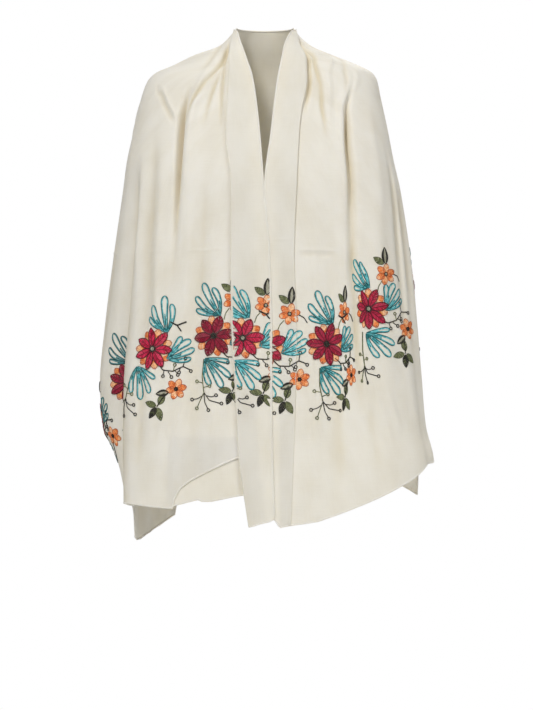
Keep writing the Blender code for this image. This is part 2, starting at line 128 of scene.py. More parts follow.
# The pleat at the front of the arm: its length along the cloth, how far it folds
# over, and how far the layer behind it lies below the one in front.
PLEAT_COLUMNS = ("drop", "length", "over", "sink")
PLEATS = {
    "left": (
        (-48, 2, 0, 0), (40, 12, 0, 0), (190, 16, 0, 0), (290, 16, 1, 12), (370, 16, 5, 20),
        (520, 16, 18, 25), (912, 16, 18, 25),
    ),
    "right": (
        (-48, 2, 0, 0), (40, 12, 0, 0), (912, 16, 0, 4),
    ),
}

# Main folds: the place at the fold's top and foot, its half width in lines, the drops
# where it starts, is fullest and ends, and its height.
FOLDS = {
    "left": (
        (1.42, 1.58, 0.14, -30, 30, 130, -2.5), (1.12, 1.26, 0.1, -10, 60, 150, -3),
        (1.88, 1.88, 0.13, -20, 130, 460, 6), (2.08, 2.07, 0.055, 50, 150, 460, -19),
        (2.42, 2.4, 0.14, 120, 400, 860, 6), (2.66, 2.7, 0.11, 120, 330, 860, -5),
        (1.3, 1.28, 0.14, 200, 550, 950, 4.5), (1.6, 1.62, 0.14, 220, 600, 950, -4.5),
        (3.55, 3.5, 0.16, 120, 450, 950, 6), (4.3, 4.25, 0.22, 80, 600, 1200, -8),
        (4.75, 4.7, 0.2, 60, 650, 1200, 11), (5.2, 5.15, 0.2, 50, 600, 1200, -12),
        (5.58, 5.55, 0.17, 80, 550, 1200, 10),
    ),
    "right": (
        (1.08, 1.34, 0.12, -10, 60, 160, -3.5), (1.9, 1.9, 0.12, 0, 140, 480, 5.5),
        (2.05, 2.06, 0.055, 50, 160, 480, -17), (2.45, 2.42, 0.16, 150, 420, 860, 6),
        (2.98, 2.9, 0.1, 150, 330, 620, -8), (1.35, 1.34, 0.14, 220, 500, 950, 4),
        (1.66, 1.66, 0.13, 220, 600, 950, -4), (3.6, 3.55, 0.18, 120, 450, 950, 5),
        (4.35, 4.3, 0.22, 80, 600, 1200, 9), (4.8, 4.85, 0.2, 60, 650, 1200, -11),
        (5.3, 5.28, 0.2, 50, 600, 1200, 12), (5.62, 5.6, 0.15, 80, 550, 1200, -9),
    ),
}

# Fine creases: half width, height, and the path as places and drops.
CREASES = {
    "left": (
        (4.5, -4.5, ((1.2, -35), (1.22, -20), (1.37, 22), (1.75, 59), (1.93, 96), (2.02, 150))),
        (6, 2, ((1.1, -20), (1.22, 22), (1.55, 62), (1.8, 105), (1.86, 170))),
        (4, -3.6, ((1.2, -20), (1.25, 4), (1.36, 50), (1.45, 87), (1.54, 150))),
        (3.4, -3, ((1.26, -20), (1.19, 54), (1.15, 109), (1.14, 160))),
        (7, -2.2, ((2.1, -35), (1.95, 0), (2.05, 45))), (3, 3, ((2.66, 62), (2.38, 100), (2.12, 134))),
        (5.5, -2.2, ((2.72, 70), (2.45, 108), (2.18, 142))), (4, -1.2, ((2.78, 60), (2.7, 86))),
        (10, 2, ((2.95, 180), (3, 480))), (8, -1.2, ((2.6, 150), (2.55, 520))),
        (6, -1, ((1.48, 230), (1.52, 540))), (6, 0.9, ((1.8, 250), (1.83, 560))),
        (8, 1, ((1.2, 480), (1.17, 730))), (11, 1.8, ((2.1, 560), (2.25, 820))),
        (9, -1.4, ((2.6, 600), (2.72, 800))), (7, 1, ((1.75, 640), (2.1, 800))),
        (4.5, 1.1, ((1.45, 700), (1.75, 785))), (2.5, 0.8, ((1.04, 372), (2.05, 377))),
        (2.5, 0.7, ((2.15, 377), (2.98, 374))), (2.5, 0.9, ((3.45, 378), (5.6, 372))),
        (2.5, 0.9, ((3.6, 720), (5.2, 712))), (7, -2, ((5.7, 10), (5, 120))),
        (6, -1.8, ((5.35, -5), (4.5, 90))), (7, 1.4, ((5.88, 60), (5.6, 230))),
        (8, 1.8, ((4.9, 110), (4.4, 260))), (6, 1.4, ((4.1, 80), (3.7, 170))),
        (10, -1.8, ((5.4, 260), (5.32, 600))), (11, 2, ((4.55, 330), (4.6, 760))),
        (10, -1.8, ((3.8, 300), (3.95, 840))),
    ),
    "right": (
        (4.2, -6.2, ((1.3, -34), (1.16, -14), (1.07, 10), (1.06, 40), (1.08, 80), (1.1, 130))),
        (4.6, -4.2, ((1.6, -34), (1.3, -10), (1.18, 17), (1.25, 50), (1.48, 118), (1.62, 180))),
        (6, 2.6, ((1.95, -24), (1.6, 8), (1.42, 45), (1.62, 110), (1.72, 160))),
        (5, -2.2, ((2.3, -30), (2, 0), (1.85, 40), (1.92, 90))), (7, 1.6, ((2.35, 20), (2.02, 90))),
        (11, 1.8, ((2.66, 80), (2.52, 350))), (10, -2.6, ((3.3, 240), (3.36, 500))),
        (6, -4.2, ((2.06, 330), (2.1, 680))), (7, 2.6, ((1.92, 340), (1.95, 640))),
        (2.2, 1.4, ((1, 374), (1.88, 376))), (4, -0.9, ((1, 383), (1.86, 385))),
        (2.2, 1, ((0.1, 354), (0.96, 357))), (2.2, 0.8, ((0.05, 333), (0.6, 334))),
        (2.5, 1, ((1.8, 681), (2.12, 682))), (5.5, 2.2, ((2.3, 640), (2.46, 745))),
        (5.5, 2, ((2.44, 636), (2.62, 720))), (8, -1.4, ((2.18, 660), (2.26, 790))),
        (4, 1.6, ((0.5, 846), (1.6, 854))), (10, 1.3, ((1.35, 560), (1.25, 840))),
        (9, -1.2, ((1.75, 560), (1.72, 820))), (11, 1.8, ((2.85, 520), (2.95, 740))),
        (2.5, 0.9, ((3.4, 378), (5.6, 374))), (2.5, 0.9, ((3.4, 715), (5.2, 716))),
        (7, -2.2, ((5.66, 10), (4.92, 130))), (6, 1.6, ((5.25, 0), (4.4, 80))),
        (8, -1.4, ((5.8, 120), (5.5, 300))), (8, -1.6, ((4.8, 120), (4.25, 240))),
        (10, 1.6, ((5.55, 280), (5.48, 640))), (11, -1.8, ((4.6, 300), (4.55, 720))),
        (10, 1.4, ((3.85, 320), (3.8, 740))),
    ),
}

# Lower edges, as the drop at each place.
HEMS = {
    "left": (
        (0, 750), (1.04, 757), (1.23, 770), (1.46, 786), (1.62, 797), (1.77, 812), (1.85, 831),
        (1.875, 849), (2.3, 847), (3, 842), (3.2, 842), (3.82, 850), (3.86, 910), (3.95, 915.5),
        (4.17, 916), (4.56, 906), (4.76, 894), (4.945, 875), (4.96, 860), (5.02, 835), (5.5, 720),
        (6, 650),
    ),
    "right": (
        (0, 871), (0.32, 883.5), (1, 880), (1.35, 873), (2, 847), (2.46, 812), (3, 774), (3.2, 770),
        (4, 768), (4.455, 766), (4.476, 835), (4.666, 815.6), (4.76, 804), (5, 784), (5.5, 705),
        (6, 650),
    ),
}
LEFT_MARGIN_HEM = ((0, 870), (1, 884))
UNDER_HEM = ((0.3, 823), (1.04, 825), (1.36, 836), (1.48, 836), (1.52, 832.5), (1.95, 848))

# Rows of the cloth, as drops with the spacing that follows each, and columns, as
# places with the number of steps that follows each.
ROW_SPACING = ((-48, 3.8), (180, 8.5), (350, 2.8), (415, 8.5), (870, 8.5))
SHEET_COLUMNS = ((0.3, 4), (1, 40), (2, 28), (3, 10), (3.2, 16), (4, 20), (5, 20), (6, 0))
STRETCH_FROM = 0.180     # drop from which the rows are stretched to reach the hem
NEAR_CORNER = 0.009      # columns nearer than this to a corner of the hem move onto it

# The margins: columns on top and underneath, the place where the underside ends, and
# the angles at which the fold between them has columns.
MARGIN_COLUMNS, RETURN_COLUMNS, RETURN_END = 16, 5, 0.30
TURN_DEGREES = (72, 48, 24, 0, -24, -48, -72)
FREE_ROWS = 19           # rows of the left margin below the raised hem

# The layer behind the raised hem: drop of its top, how far behind the front it lies,
# the place of its outer edge, and its rows.
UNDER_TOP, UNDER_LIFT, UNDER_SIDE, UNDER_ROWS = 0.720, -0.0022, 1.98, 22

FULL_SHADE_CREASE, FULL_SHADE_FOLD = 0.0045, 0.014   # depths at which the painted shade in creases and folds is darkest
PLEAT_SHADE, PLEAT_MOUTH, PLEAT_FADE = 0.6, 0.04, 0.20   # how dark the painted shade inside the pleat is, and over which places
MARGIN_SHADE = 0.5       # share of that painted shade on the margins, which lie in the light
LEVEL = 0.02             # a crease that drops less than this runs across the cloth
FADE_IN, FADE_OUT, WANDER = 0.2, 0.3, 0.15   # shares of a crease's length and height


def ease(t):
    """Soft step from 0 to 1."""
    t = np.clip(t, 0, 1)
    return t * t * (3 - 2 * t)


def power(value, exponent):
    """Power of a number's size, with its sign kept."""
    return np.sign(value) * np.abs(value) ** exponent


def between(place, start, end):
    """How far a place lies from one place to another, from 0 to 1."""
    return np.clip((place - start) / (end - start), 0, 1)


def curves(columns, rows):
    """For each named column of a table, its value over the drop on a smooth curve."""
    data = np.array(rows, float) / [1 if name == "square" else 1000 for name in columns]
    knots, spans = data[:, 0], np.diff(data[:, 0])

    def curve(values):
        rises = np.diff(values) / spans
        slopes = np.concatenate(([rises[0]], np.zeros(len(rises) - 1), [rises[-1]]))
        same_way = rises[:-1] * rises[1:] > 0
        before, after = rises[:-1][same_way], rises[1:][same_way]
        slopes[1:-1][same_way] = 2 * before * after / (before + after)

        def at(drop):
            drop = np.clip(drop, knots[0], knots[-1])
            k = np.clip(np.searchsorted(knots, drop, side="right") - 1, 0, len(spans) - 1)
            t = (drop - knots[k]) / spans[k]
            near = (1 + 2 * t) * (1 - t) ** 2 * values[k] + t * (1 - t) ** 2 * spans[k] * slopes[k]
            far = t ** 2 * (3 - 2 * t) * values[k + 1] + t ** 2 * (t - 1) * spans[k] * slopes[k + 1]
            return near + far

        return at

    return {name: curve(values) for name, values in zip(columns[1:], data.T[1:])}


SECTION = curves(SECTION_COLUMNS, SECTIONS)
LINE = {side: curves(LINE_COLUMNS, rows) for side, rows in LINES.items()}
PLEAT_SIZE = {side: curves(PLEAT_COLUMNS, rows) for side, rows in PLEATS.items()}


def fold_height(side, place, drop):
    """Height of the main folds above the plain section."""
    height = np.zeros(np.broadcast(place, drop).shape)
    for top, foot, half_width, *lengths in FOLDS[side]:
        start, full, end, most = (length / 1000 for length in lengths)
        middle = top + (foot - top) * between(drop, start, end)
        left_over = 1 - ease(between(drop, full, end))
        across = np.exp(-((place - middle) / half_width) ** 2)
        height += most * ease(between(drop, start, full)) * left_over * across
    return height


def section_sizes(side, place, drop):
    """Half width, depth in front and behind, and squareness of the section at a place."""
    narrowing = LINE[side]["drawn_in"](drop) * ease(between(place, PLEAT_END, OUTERMOST))
    front, back, square = (SECTION[name](drop) for name in ("front", "back", "square"))
    return SECTION[side](drop) - narrowing, front, back, square


def line_angle(side, place, drop):
    """Angle round the section, from the front, of a place."""
    line = LINE[side]
    wide, front, square = (SECTION[name](drop) for name in (side, "front", "square"))
    length, over = PLEAT_SIZE[side]["length"](drop), PLEAT_SIZE[side]["over"](drop)

    def front_angle(name, width):
        share = np.clip(line[name](drop) / width, -WIDEST_SHARE, WIDEST_SHARE)
        return np.arcsin(power(share, square / 2))

    inner = front_angle("inner", wide)
    margin = np.maximum(front_angle("margin", wide), inner + LEAST_ANGLE)
    armpit = np.maximum(front_angle("armpit", wide), margin + LEAST_ANGLE)
    fold = np.maximum(front_angle("arm_fold", wide), armpit + LEAST_ANGLE)
    speed = np.hypot(wide * np.cos(fold), front * np.sin(fold))
    pleat_start = np.maximum(fold - (length / 4 + over) / speed, armpit + LEAST_ANGLE / 2)
    pleat_end = pleat_start + length / speed
    outermost = np.maximum(np.pi / 2, pleat_end + LEAST_ANGLE)
    behind = np.pi - front_angle("blade", wide - line["drawn_in"](drop))
    blade = np.maximum(behind, outermost + LEAST_ANGLE)

    turn = between(place, PLEAT, PLEAT_END)
    angle = inner + (margin - inner) * between(place, 0, MARGIN)
    angle = angle + (armpit - margin) * between(place, MARGIN, ARMPIT)
    angle = angle + (pleat_start - armpit) * between(place, ARMPIT, PLEAT)
    angle = angle + (length * turn + over * np.sin(2 * np.pi * turn)) / speed
    angle = angle + (outermost - pleat_end) * between(place, PLEAT_END, OUTERMOST)
    angle = angle + (blade - outermost) * between(place, OUTERMOST, BLADE)
    return angle + (np.pi - blade) * between(place, BLADE, MIDDLE)


def unit_length(vectors):
    return vectors / np.linalg.norm(vectors, axis=-1, keepdims=True)


def outward(side, place, drop, angle):
    """Direction straight out of the plain section."""
    width, front, back, square = section_sizes(side, place, drop)
    next_width, next_front, next_back, _ = section_sizes(side, place, drop + STEP_DROP)
    faces_front = np.cos(angle) >= 0
    depth = np.where(faces_front, front, back)
    widening = (next_width - width) / STEP_DROP
    deepening = (np.where(faces_front, next_front, next_back) - depth) / STEP_DROP
    x, y = power(np.sin(angle), 2 / square), -power(np.cos(angle), 2 / square)
    z = np.abs(x) ** square * widening / width + np.abs(y) ** square * deepening / depth
    return unit_length(np.stack([power(x, square - 1) / width, power(y, square - 1) / depth, z], axis=-1))


def cloth(side, place, drop, lift=0.0):
    """Points of the plain cloth's outer face, lifted straight out of it by a distance."""
    place, drop = np.broadcast_arrays(np.asarray(place, float), np.asarray(drop, float))
    angle = line_angle(side, place, drop)
    width, front, back, square = section_sizes(side, place, drop)
    depth = np.where(np.cos(angle) >= 0, front, back)
    points = np.stack([width * power(np.sin(angle), 2 / square),
                       -depth * power(np.cos(angle), 2 / square), -drop], axis=-1)
    leaving = ease(between(place, PLEAT_END, OUTERMOST))
    sunk = PLEAT_SIZE[side]["sink"](drop) * between(place, PLEAT, PLEAT_END) * (1 - leaving)
    height = fold_height(side, place, drop) - sunk + lift
    points = points + height[..., None] * outward(side, place, drop, angle)
    if side == "left":
        points[..., 0] *= -1
    return points


def hem_drop(hem, places):
    """Drop of a lower edge at each place."""
    at, drops = np.array(hem).T
    return np.interp(places, at, drops / 1000)


TABLE_PLACES, TABLE_DROPS = np.linspace(0, MIDDLE, 601), np.linspace(-0.05, 0.94, 100)


def lengths_along(side):
    """Lengths along the plain cloth from its inner edge, at a fine mesh of places and drops."""
    steps = np.linalg.norm(np.diff(cloth(side, TABLE_PLACES, TABLE_DROPS[:, None]), axis=1), axis=-1)
    return np.pad(np.cumsum(steps, axis=1), ((0, 0), (1, 0)))


LENGTHS = {side: lengths_along(side) for side in ("left", "right")}


def table_row(drop):
    """Row of the table of lengths over a drop, and how far past it the drop lies."""
    span, last = TABLE_DROPS[-1] - TABLE_DROPS[0], len(TABLE_DROPS) - 1
    down = np.clip((drop - TABLE_DROPS[0]) / span, 0, 1) * last
    row = np.minimum(down.astype(int), last - 1)
    return row, down - row


def length_to(side, place, drop):
    """Length along the cloth from the inner edge to a place."""
    last, table = len(TABLE_PLACES) - 1, LENGTHS[side]
    across = np.clip(place / MIDDLE, 0, 1) * last
    col = np.minimum(across.astype(int), last - 1)
    s = across - col
    row, t = table_row(drop)
    upper = table[row, col] * (1 - s) + table[row, col + 1] * s
    lower = table[row + 1, col] * (1 - s) + table[row + 1, col + 1] * s
    return upper * (1 - t) + lower * t


def place_at(side, length, drop):
    """Place that lies a length along the cloth from the inner edge, at its drop."""
    table = LENGTHS[side]
    return np.array([np.interp(wanted, table[row] * (1 - t) + table[row + 1] * t, TABLE_PLACES)
                     for row, t, wanted in zip(*table_row(drop), length)])


def crease_height(side, place, drop):
    """Height of the fine creases over the main folds."""
    here = length_to(side, place, drop)
    height = np.zeros(place.shape)
    for half_width, most, path in CREASES[side]:
        places, drops = np.array(path).T
        drops = drops / 1000
        if abs(drops[-1] - drops[0]) > LEVEL:
            along = (drop - drops[0]) / (drops[-1] - drops[0])
            away = here - length_to(side, np.interp(drop, drops, places), drop)
        else:
            along = (place - places[0]) / (places[-1] - places[0])
            away = drop - np.interp(place, places, drops)
        fade = ease(along / FADE_IN) * ease((1 - along) / FADE_OUT)
        wander = WANDER * np.sin(along * 17 + drops[0] * 90) + 1
        height += most / 1000 * fade * wander * np.exp(-(away / (half_width / 1000)) ** 2)
    return height


def painted_fold_shade(side, place, drop):
    """Painted shade at a point, from 0 to 1: darker the deeper the point lies in a crease, a fold or the
    pleat.
    """
    fine = np.clip(-crease_height(side, place, drop) / FULL_SHADE_CREASE, 0, 1)
    large = np.clip(-fold_height(side, place, drop) / FULL_SHADE_FOLD, 0, 1)
    leaving = ease(between(place, PLEAT_END, PLEAT_END + PLEAT_FADE))
    inside_pleat = PLEAT_SHADE * between(place, PLEAT, PLEAT + PLEAT_MOUTH) * (1 - leaving)
    sink = np.clip(PLEAT_SIZE[side]["sink"](drop) / FULL_SHADE_FOLD, 0, 1)
    return np.clip(fine + large + inside_pleat * sink, 0, 1)


def surface(side, place, drop, lift=0.0):
    """Points of the cloth's face with its fine creases."""
    return cloth(side, place, drop, crease_height(side, place, drop) + lift)


def direction_out(side, place, drop, lift=0.0):
    """Direction straight out of the creased cloth."""
    across = (surface(side, place + STEP_PLACE, drop, lift)
              - surface(side, np.maximum(place - STEP_PLACE, 0), drop, lift))
    down = surface(side, place, drop + STEP_DROP, lift) - surface(side, place, drop - STEP_DROP, lift)
    return unit_length(np.cross(down, across) if side == "right" else np.cross(across, down))


def stepped(marks, counts):
    """Even steps from each mark to the next, without the last mark."""
    return [a + (b - a) * i / n for a, b, n in zip(marks, marks[1:], counts) for i in range(n)]


def fitted_rows(places, hem):
    """Drops of all rows at each place, from the neck edge to a hem."""
    marks, spacings = np.array(ROW_SPACING).T / 1000
    counts = [round((b - a) / spacing) for a, b, spacing in zip(marks, marks[1:], spacings)]
    rows = np.array([*stepped(marks, counts), marks[-1]])[:, None]
    stretch = between(rows, STRETCH_FROM, rows[-1])
    dip = TOP_DIP * (1 - ease(between(places, 0, TOP_DIP_END)))
    return rows + stretch * (hem_drop(hem, places) - rows[-1]) + dip * (1 - between(rows, TOP, 0))


def sheet_places(side):
    """Places of all columns of a half of the main cloth, with one at each corner of its hem."""
    marks, counts = zip(*SHEET_COLUMNS)
    corners = [place for place, _ in HEMS[side] if place > marks[0] + NEAR_CORNER]
    clear = [place for place in stepped(marks, counts)
             if min(abs(place - corner) for corner in corners) > NEAR_CORNER]
    return np.array(sorted(clear + corners))


def shown(name, data):
    """A new object in the scene."""
    made = bpy.data.objects.new(name, data)
    bpy.context.scene.collection.objects.link(made)
    return made


def stretch_of_cloth(side, places, drops, lift=0.0):
    """Outer face, inner face, chart and painted shade in the folds of a stretch."""
    place = np.broadcast_to(places, drops.shape)
    outer = surface(side, place, drops, lift)
    inner = outer - CLOTH * direction_out(side, place, drops, lift)
    chart = np.stack([length_to(side, place, drops), -drops], axis=-1)
    return outer, inner, chart, painted_fold_shade(side, place, drops)


def wall(name, material, outer, inner, chart, depth):
    """Closed thin shell between two faces of the same rows and columns."""
    rows, columns = outer.shape[:2]
    count = rows * columns
    index = np.arange(count).reshape(rows, columns)
    a, b, c, d = index[:-1, :-1], index[:-1, 1:], index[1:, 1:], index[1:, :-1]
    front = np.stack([a, d, c, b], axis=-1).reshape(-1, 4)
    back = np.stack([a, b, c, d], axis=-1).reshape(-1, 4) + count
    rim = np.concatenate([index[0], index[1:, -1], index[-1, -2::-1], index[-2:0:-1, 0]])
    following = np.roll(rim, -1)
    edge = np.stack([rim, following, following + count, rim + count], axis=1)
    faces = np.concatenate([front, back, edge])
    mesh = bpy.data.meshes.new(name)
    mesh.from_pydata(np.concatenate([outer, inner]).reshape(-1, 3).tolist(), [], faces.tolist())
    flat = np.concatenate([chart, chart]).reshape(-1, 2)
    mesh.uv_layers.new(name="cloth_chart").data.foreach_set("uv", flat[faces.ravel()].ravel())
    # Painted shade of the folds, kept on the points for the cloth's material.
    painted_shade_layer = mesh.attributes.new("painted_fold_shade", "FLOAT", "POINT")
    painted_shade_layer.data.foreach_set("value", np.concatenate([depth, depth]).astype(np.float32).ravel())
    mesh.materials.append(material)
    mesh.shade_smooth()
    mesh.set_sharp_from_angle(angle=1.0)
    mesh.validate()
    return shown(name, mesh)


def main_cloth(material):
    """The cloth from the right margin round the back to the left margin."""
    halves = []
    for side, hand in (("right", -1), ("left", 1)):
        places = sheet_places(side)
        half = stretch_of_cloth(side, places, fitted_rows(places, HEMS[side]))
        length = half[2][..., 0]
        length[:] = hand * (length[:, -1:] - length)
        halves.append(half)
    joined = [np.concatenate([right, left[:, -2::-1]], axis=1) for right, left in zip(*halves)]
    return wall("scarf_cloth", material, *joined), joined


def rolls(side, drops):
    """Radius at which a margin turns under, at each drop."""
    return np.interp(drops, *(np.array(MARGIN_ROLL[side]).T / 1000))


def margin_cloth(side, material):
    """Folded front margin: on top, round the fold and back underneath."""
    turn = np.radians(TURN_DEGREES)
    top, back = np.linspace(0, MARGIN, MARGIN_COLUMNS), np.linspace(MARGIN, RETURN_END, RETURN_COLUMNS)
    places = np.concatenate([top, np.full(len(turn), MARGIN), back])
    drops = fitted_rows(places, HEMS[side])
    if side == "left":
        share = np.arange(1, FREE_ROWS + 1)[:, None] / FREE_ROWS
        drops = np.concatenate([drops, drops[-1] + share * (hem_drop(LEFT_MARGIN_HEM, places) - drops[-1])])
    roll = rolls(side, drops)
    kind = np.concatenate([np.full(len(top), 1.0), np.sin(turn), np.full(len(back), -1.0)])
    bulge = np.concatenate([np.zeros(len(top)), np.cos(turn), np.zeros(len(back))])
    place = np.broadcast_to(places, drops.shape)
    edge = drops[:, len(top)]
    at_edge = np.full(edge.shape, MARGIN)
    along = unit_length(surface(side, at_edge, edge) - surface(side, at_edge - STEP_PLACE, edge))

    def face(lifts, reach):
        return surface(side, place, drops, lifts) + (reach * bulge)[..., None] * along[:, None, :]

    chart = np.stack([length_to(side, place, drops), -drops], axis=-1)
    # The last part is the painted shade of the folds, weaker on the margins.
    joined = (face(SEAM + roll * (1 + kind), roll), face(SEAM + roll + (roll - CLOTH) * kind, roll - CLOTH),
              chart, painted_fold_shade(side, place, drops) * MARGIN_SHADE)
    if side == "left":
        joined = [part[:, ::-1] for part in joined]
    return wall(side + "_margin_cloth", material, *joined), joined


def under_cloth(material):
    """Layer that hangs behind the raised hem of the left front."""
    places = np.concatenate([np.linspace(RETURN_END, MARGIN, 6)[:-1], np.linspace(MARGIN, UNDER_SIDE, 34)])
    share = np.linspace(0, 1, UNDER_ROWS)[:, None]
    drops = UNDER_TOP + share * (hem_drop(UNDER_HEM, places) - UNDER_TOP)
    joined = [part[:, ::-1] for part in stretch_of_cloth("left", places, drops, UNDER_LIFT)]
    return wall("left_under_cloth", material, *joined), joined


# The flower border. A unit is charted in centimetres round the middle of its large
# flower, x along the hem and y up the cloth, in groups that may turn a little.
#
# Fans, one row for each loop: x and y of its root, angle, length, half width, bend.
FANS = {
    "upper_fan": (
        (1.3, 3.6, 103, 5.4, 0.70, -0.25),
        (1.3, 3.6, 116, 6.9, 0.84, 0.10),
        (1.1, 3.7, 140, 5.7, 0.74, 0.25),
        (0.9, 3.7, 163, 4.4, 0.60, 0.12),
    ),
    "right_fan": (
        (2.9, -1.6, 62, 4.8, 0.68, -0.05),
        (2.9, -1.6, 43, 5.5, 0.80, 0.12),
        (2.9, -1.6, 24, 5.4, 0.70, -0.10),
        (2.9, -1.6, 5, 4.6, 0.58, -0.20),
    ),
    "lower_fan": (
        (-1.9, -4.1, -9, 4.6, 0.56, 0.05),
        (-1.9, -4.1, -38, 5.8, 0.72, 0.14),
        (-1.9, -4.1, -61, 6.2, 0.82, 0.08),
        (-1.9, -4.1, -81, 5.0, 0.70, -0.22),
    ),
}
# Leaves: x and y of the root, angle, length, half width, finish.
LEAVES = {
    "foot_leaves": (
        (4.6, -7.4, 196, 2.4, 0.62, "open"),
        (3.2, -9.9, 74, 2.3, 0.64, "olive"),
        (2.7, -10.2, 172, 2.3, 0.58, "olive"),
        (2.8, -10.5, 244, 2.4, 0.58, "dark"),
        (3.1, -10.5, 294, 2.5, 0.64, "olive"),
    ),
    "top": (
        (4.0, 8.2, 90, 3.1, 0.66, "open"),
        (3.6, 8.2, 146, 2.3, 0.60, "olive"),
    ),
}
# Small flowers: x, y, radius, kind of middle.
SMALL_FLOWERS = {"foot": (5.9, -6.6, 1.95, "black"), "top": (3.9, 6.3, 2.0, "ring")}
# Twigs: thread, width of the stitches, points.
TWIGS = {
    "side": (
        ("dark", 0.22, ((1.3, -2.8), (2.3, -3.9), (4.2, -4.1), (6.0, -3.2), (7.3, -3.8))),
        ("dark", 0.17, ((2.5, -4.0), (2.4, -4.7))),
        ("dark", 0.17, ((3.3, -4.2), (3.8, -4.9))),
        ("dark", 0.17, ((4.6, -4.0), (5.0, -4.5))),
        ("dark", 0.17, ((5.5, -3.5), (5.4, -4.0))),
        ("dark", 0.17, ((6.0, -3.2), (6.3, -2.0))),
        ("olive", 0.17, ((4.2, -4.1), (4.4, -3.2))),
    ),
    "spray": (
        ("olive", 0.20, ((-2.1, -4.2), (-2.6, -7.4), (-2.4, -10.4))),
        ("olive", 0.16, ((-2.5, -8.6), (-3.4, -8.3))),
        ("olive", 0.16, ((-2.5, -9.4), (-1.5, -9.2))),
        ("dark", 0.19, ((-2.4, -10.3), (-1.4, -11.8), (0.5, -12.4))),
        ("dark", 0.17, ((-2.0, -10.9), (-0.9, -11.2), (-0.4, -11.0))),
        ("dark", 0.19, ((-2.4, -10.4), (-2.3, -12.2), (-1.8, -13.3))),
        ("olive", 0.17, ((-2.5, -10.5), (-3.3, -11.9), (-3.8, -12.9))),
        ("dark", 0.17, ((-2.7, -10.9), (-3.7, -11.4), (-4.5, -11.5))),
    ),
    "branch": (
        ("dark", 0.29, ((3.2, 4.9), (4.5, 4.2), (6.2, 4.8))),
        ("dark", 0.25, ((4.5, 4.2), (5.3, 3.1))),
    ),
    "top": (
        ("dark", 0.20, ((5.6, 6.3), (6.6, 5.9), (7.3, 5.0))),
        ("olive", 0.16, ((3.0, 5.0), (2.3, 4.1), (2.0, 3.0))),
    ),
    "foot": (
        ("dark", 0.22, ((4.6, -7.4), (3.7, -8.6), (2.9, -10.3))),
    ),
}
# Berries: x and y of the end of the twig, angle, thread.
BERRIES = {
    "side": (
        (2.4, -4.7, 265, "dark"), (3.8, -4.9, 300, "dark"), (5.0, -4.5, 300, "dark"),
        (5.4, -4.0, 260, "dark"), (6.3, -2.0, 80, "dark"), (7.3, -3.8, 310, "dark"),
        (4.4, -3.2, 80, "olive"),
    ),
    "spray": (
        (-3.4, -8.3, 165, "olive"), (-1.5, -9.2, 10, "olive"), (0.5, -12.4, -10, "dark"),
        (-0.4, -11.0, 20, "dark"), (-1.8, -13.3, 290, "dark"), (-3.8, -12.9, 240, "olive"),
        (-4.5, -11.5, 185, "dark"),
    ),
}
GROUPS = ("upper_fan", "right_fan", "lower_fan", "side", "spray", "foot", "foot_leaves", "branch", "top")

# Where the units lie: ground, place and drop of the large flower's middle, a shift
# along the cloth, turns of the chart and of single groups in degrees, the petals,
# how light the crimson and the fans are (painted shade and light: each unit's threads
# are made darker or lighter by how the light falls where it lies), the groups that
# aren't sewn, and how the cloth draws in or spreads beside a fold: to which hand, from
# which x on and by what share.
UNIT_COLUMNS = ("ground", "place", "drop", "shift", "turn", "group_turns", "petals", "first_petal", "core",
                "tone", "fan_painted_shading", "left_out", "drawn")
UNITS = (
    ("left_margin", 0.668, 537, 0, 2, {"top": -4}, 6, 62, "ring", 1.10, 1.20, (), ()),
    ("left", 1.277, 533, 0, 2, {}, 6, 68, "black", 0.55, 0.85, (), ()),
    ("left", 2.420, 557, 0, -8, {"upper_fan": -20, "right_fan": -4, "lower_fan": -20, "side": 0,
     "branch": 2, "spray": -18}, 7, 55, "ring", 1.15, 1.00, ("top",), ()),
    ("left", 3.353, 618, -10, 20, {"upper_fan": 14}, 7, 40, "black", 0.66, 0.50,
     ("top", "foot", "foot_leaves", "right_fan", "side"), ()),
    ("left", 4.080, 690, -5, 28, {"upper_fan": 18, "right_fan": 18}, 6, 80, "ring", 1.00, 0.75,
     ("top", "foot_leaves", "spray"), ()),
    ("left", 4.950, 745, 0, 24, {}, 7, 20, "black", 0.80, 1.00, (), ()),
    ("right", 0.000, 551, -12, 4, {"top": -6}, 6, 75, "black", 0.90, 1.20, ("branch",), ()),
    ("right", 1.523, 548, 0, 8, {"upper_fan": 0, "top": -6}, 7, 66, "black", 0.74, 0.95, (),
     ((1, 2.4, 0.50),)),
    ("right", 2.244, 483, 0, 24, {"upper_fan": 14, "lower_fan": 17, "top": 2, "spray": 2}, 7, 92,
     "ring", 0.92, 1.10, ("branch",), ((-1, 0.8, 0.45), (1, 2.8, 1.30))),
    ("right", 4.060, 436, 0, 8, {}, 6, 50, "black", 0.85, 1.00, (), ()),
    ("right", 4.850, 475, 0, -24, {}, 7, 80, "ring", 1.00, 1.00, (), ()),
    ("right", 5.430, 565, 0, -38, {}, 6, 35, "black", 0.80, 1.00, (), ()),
)

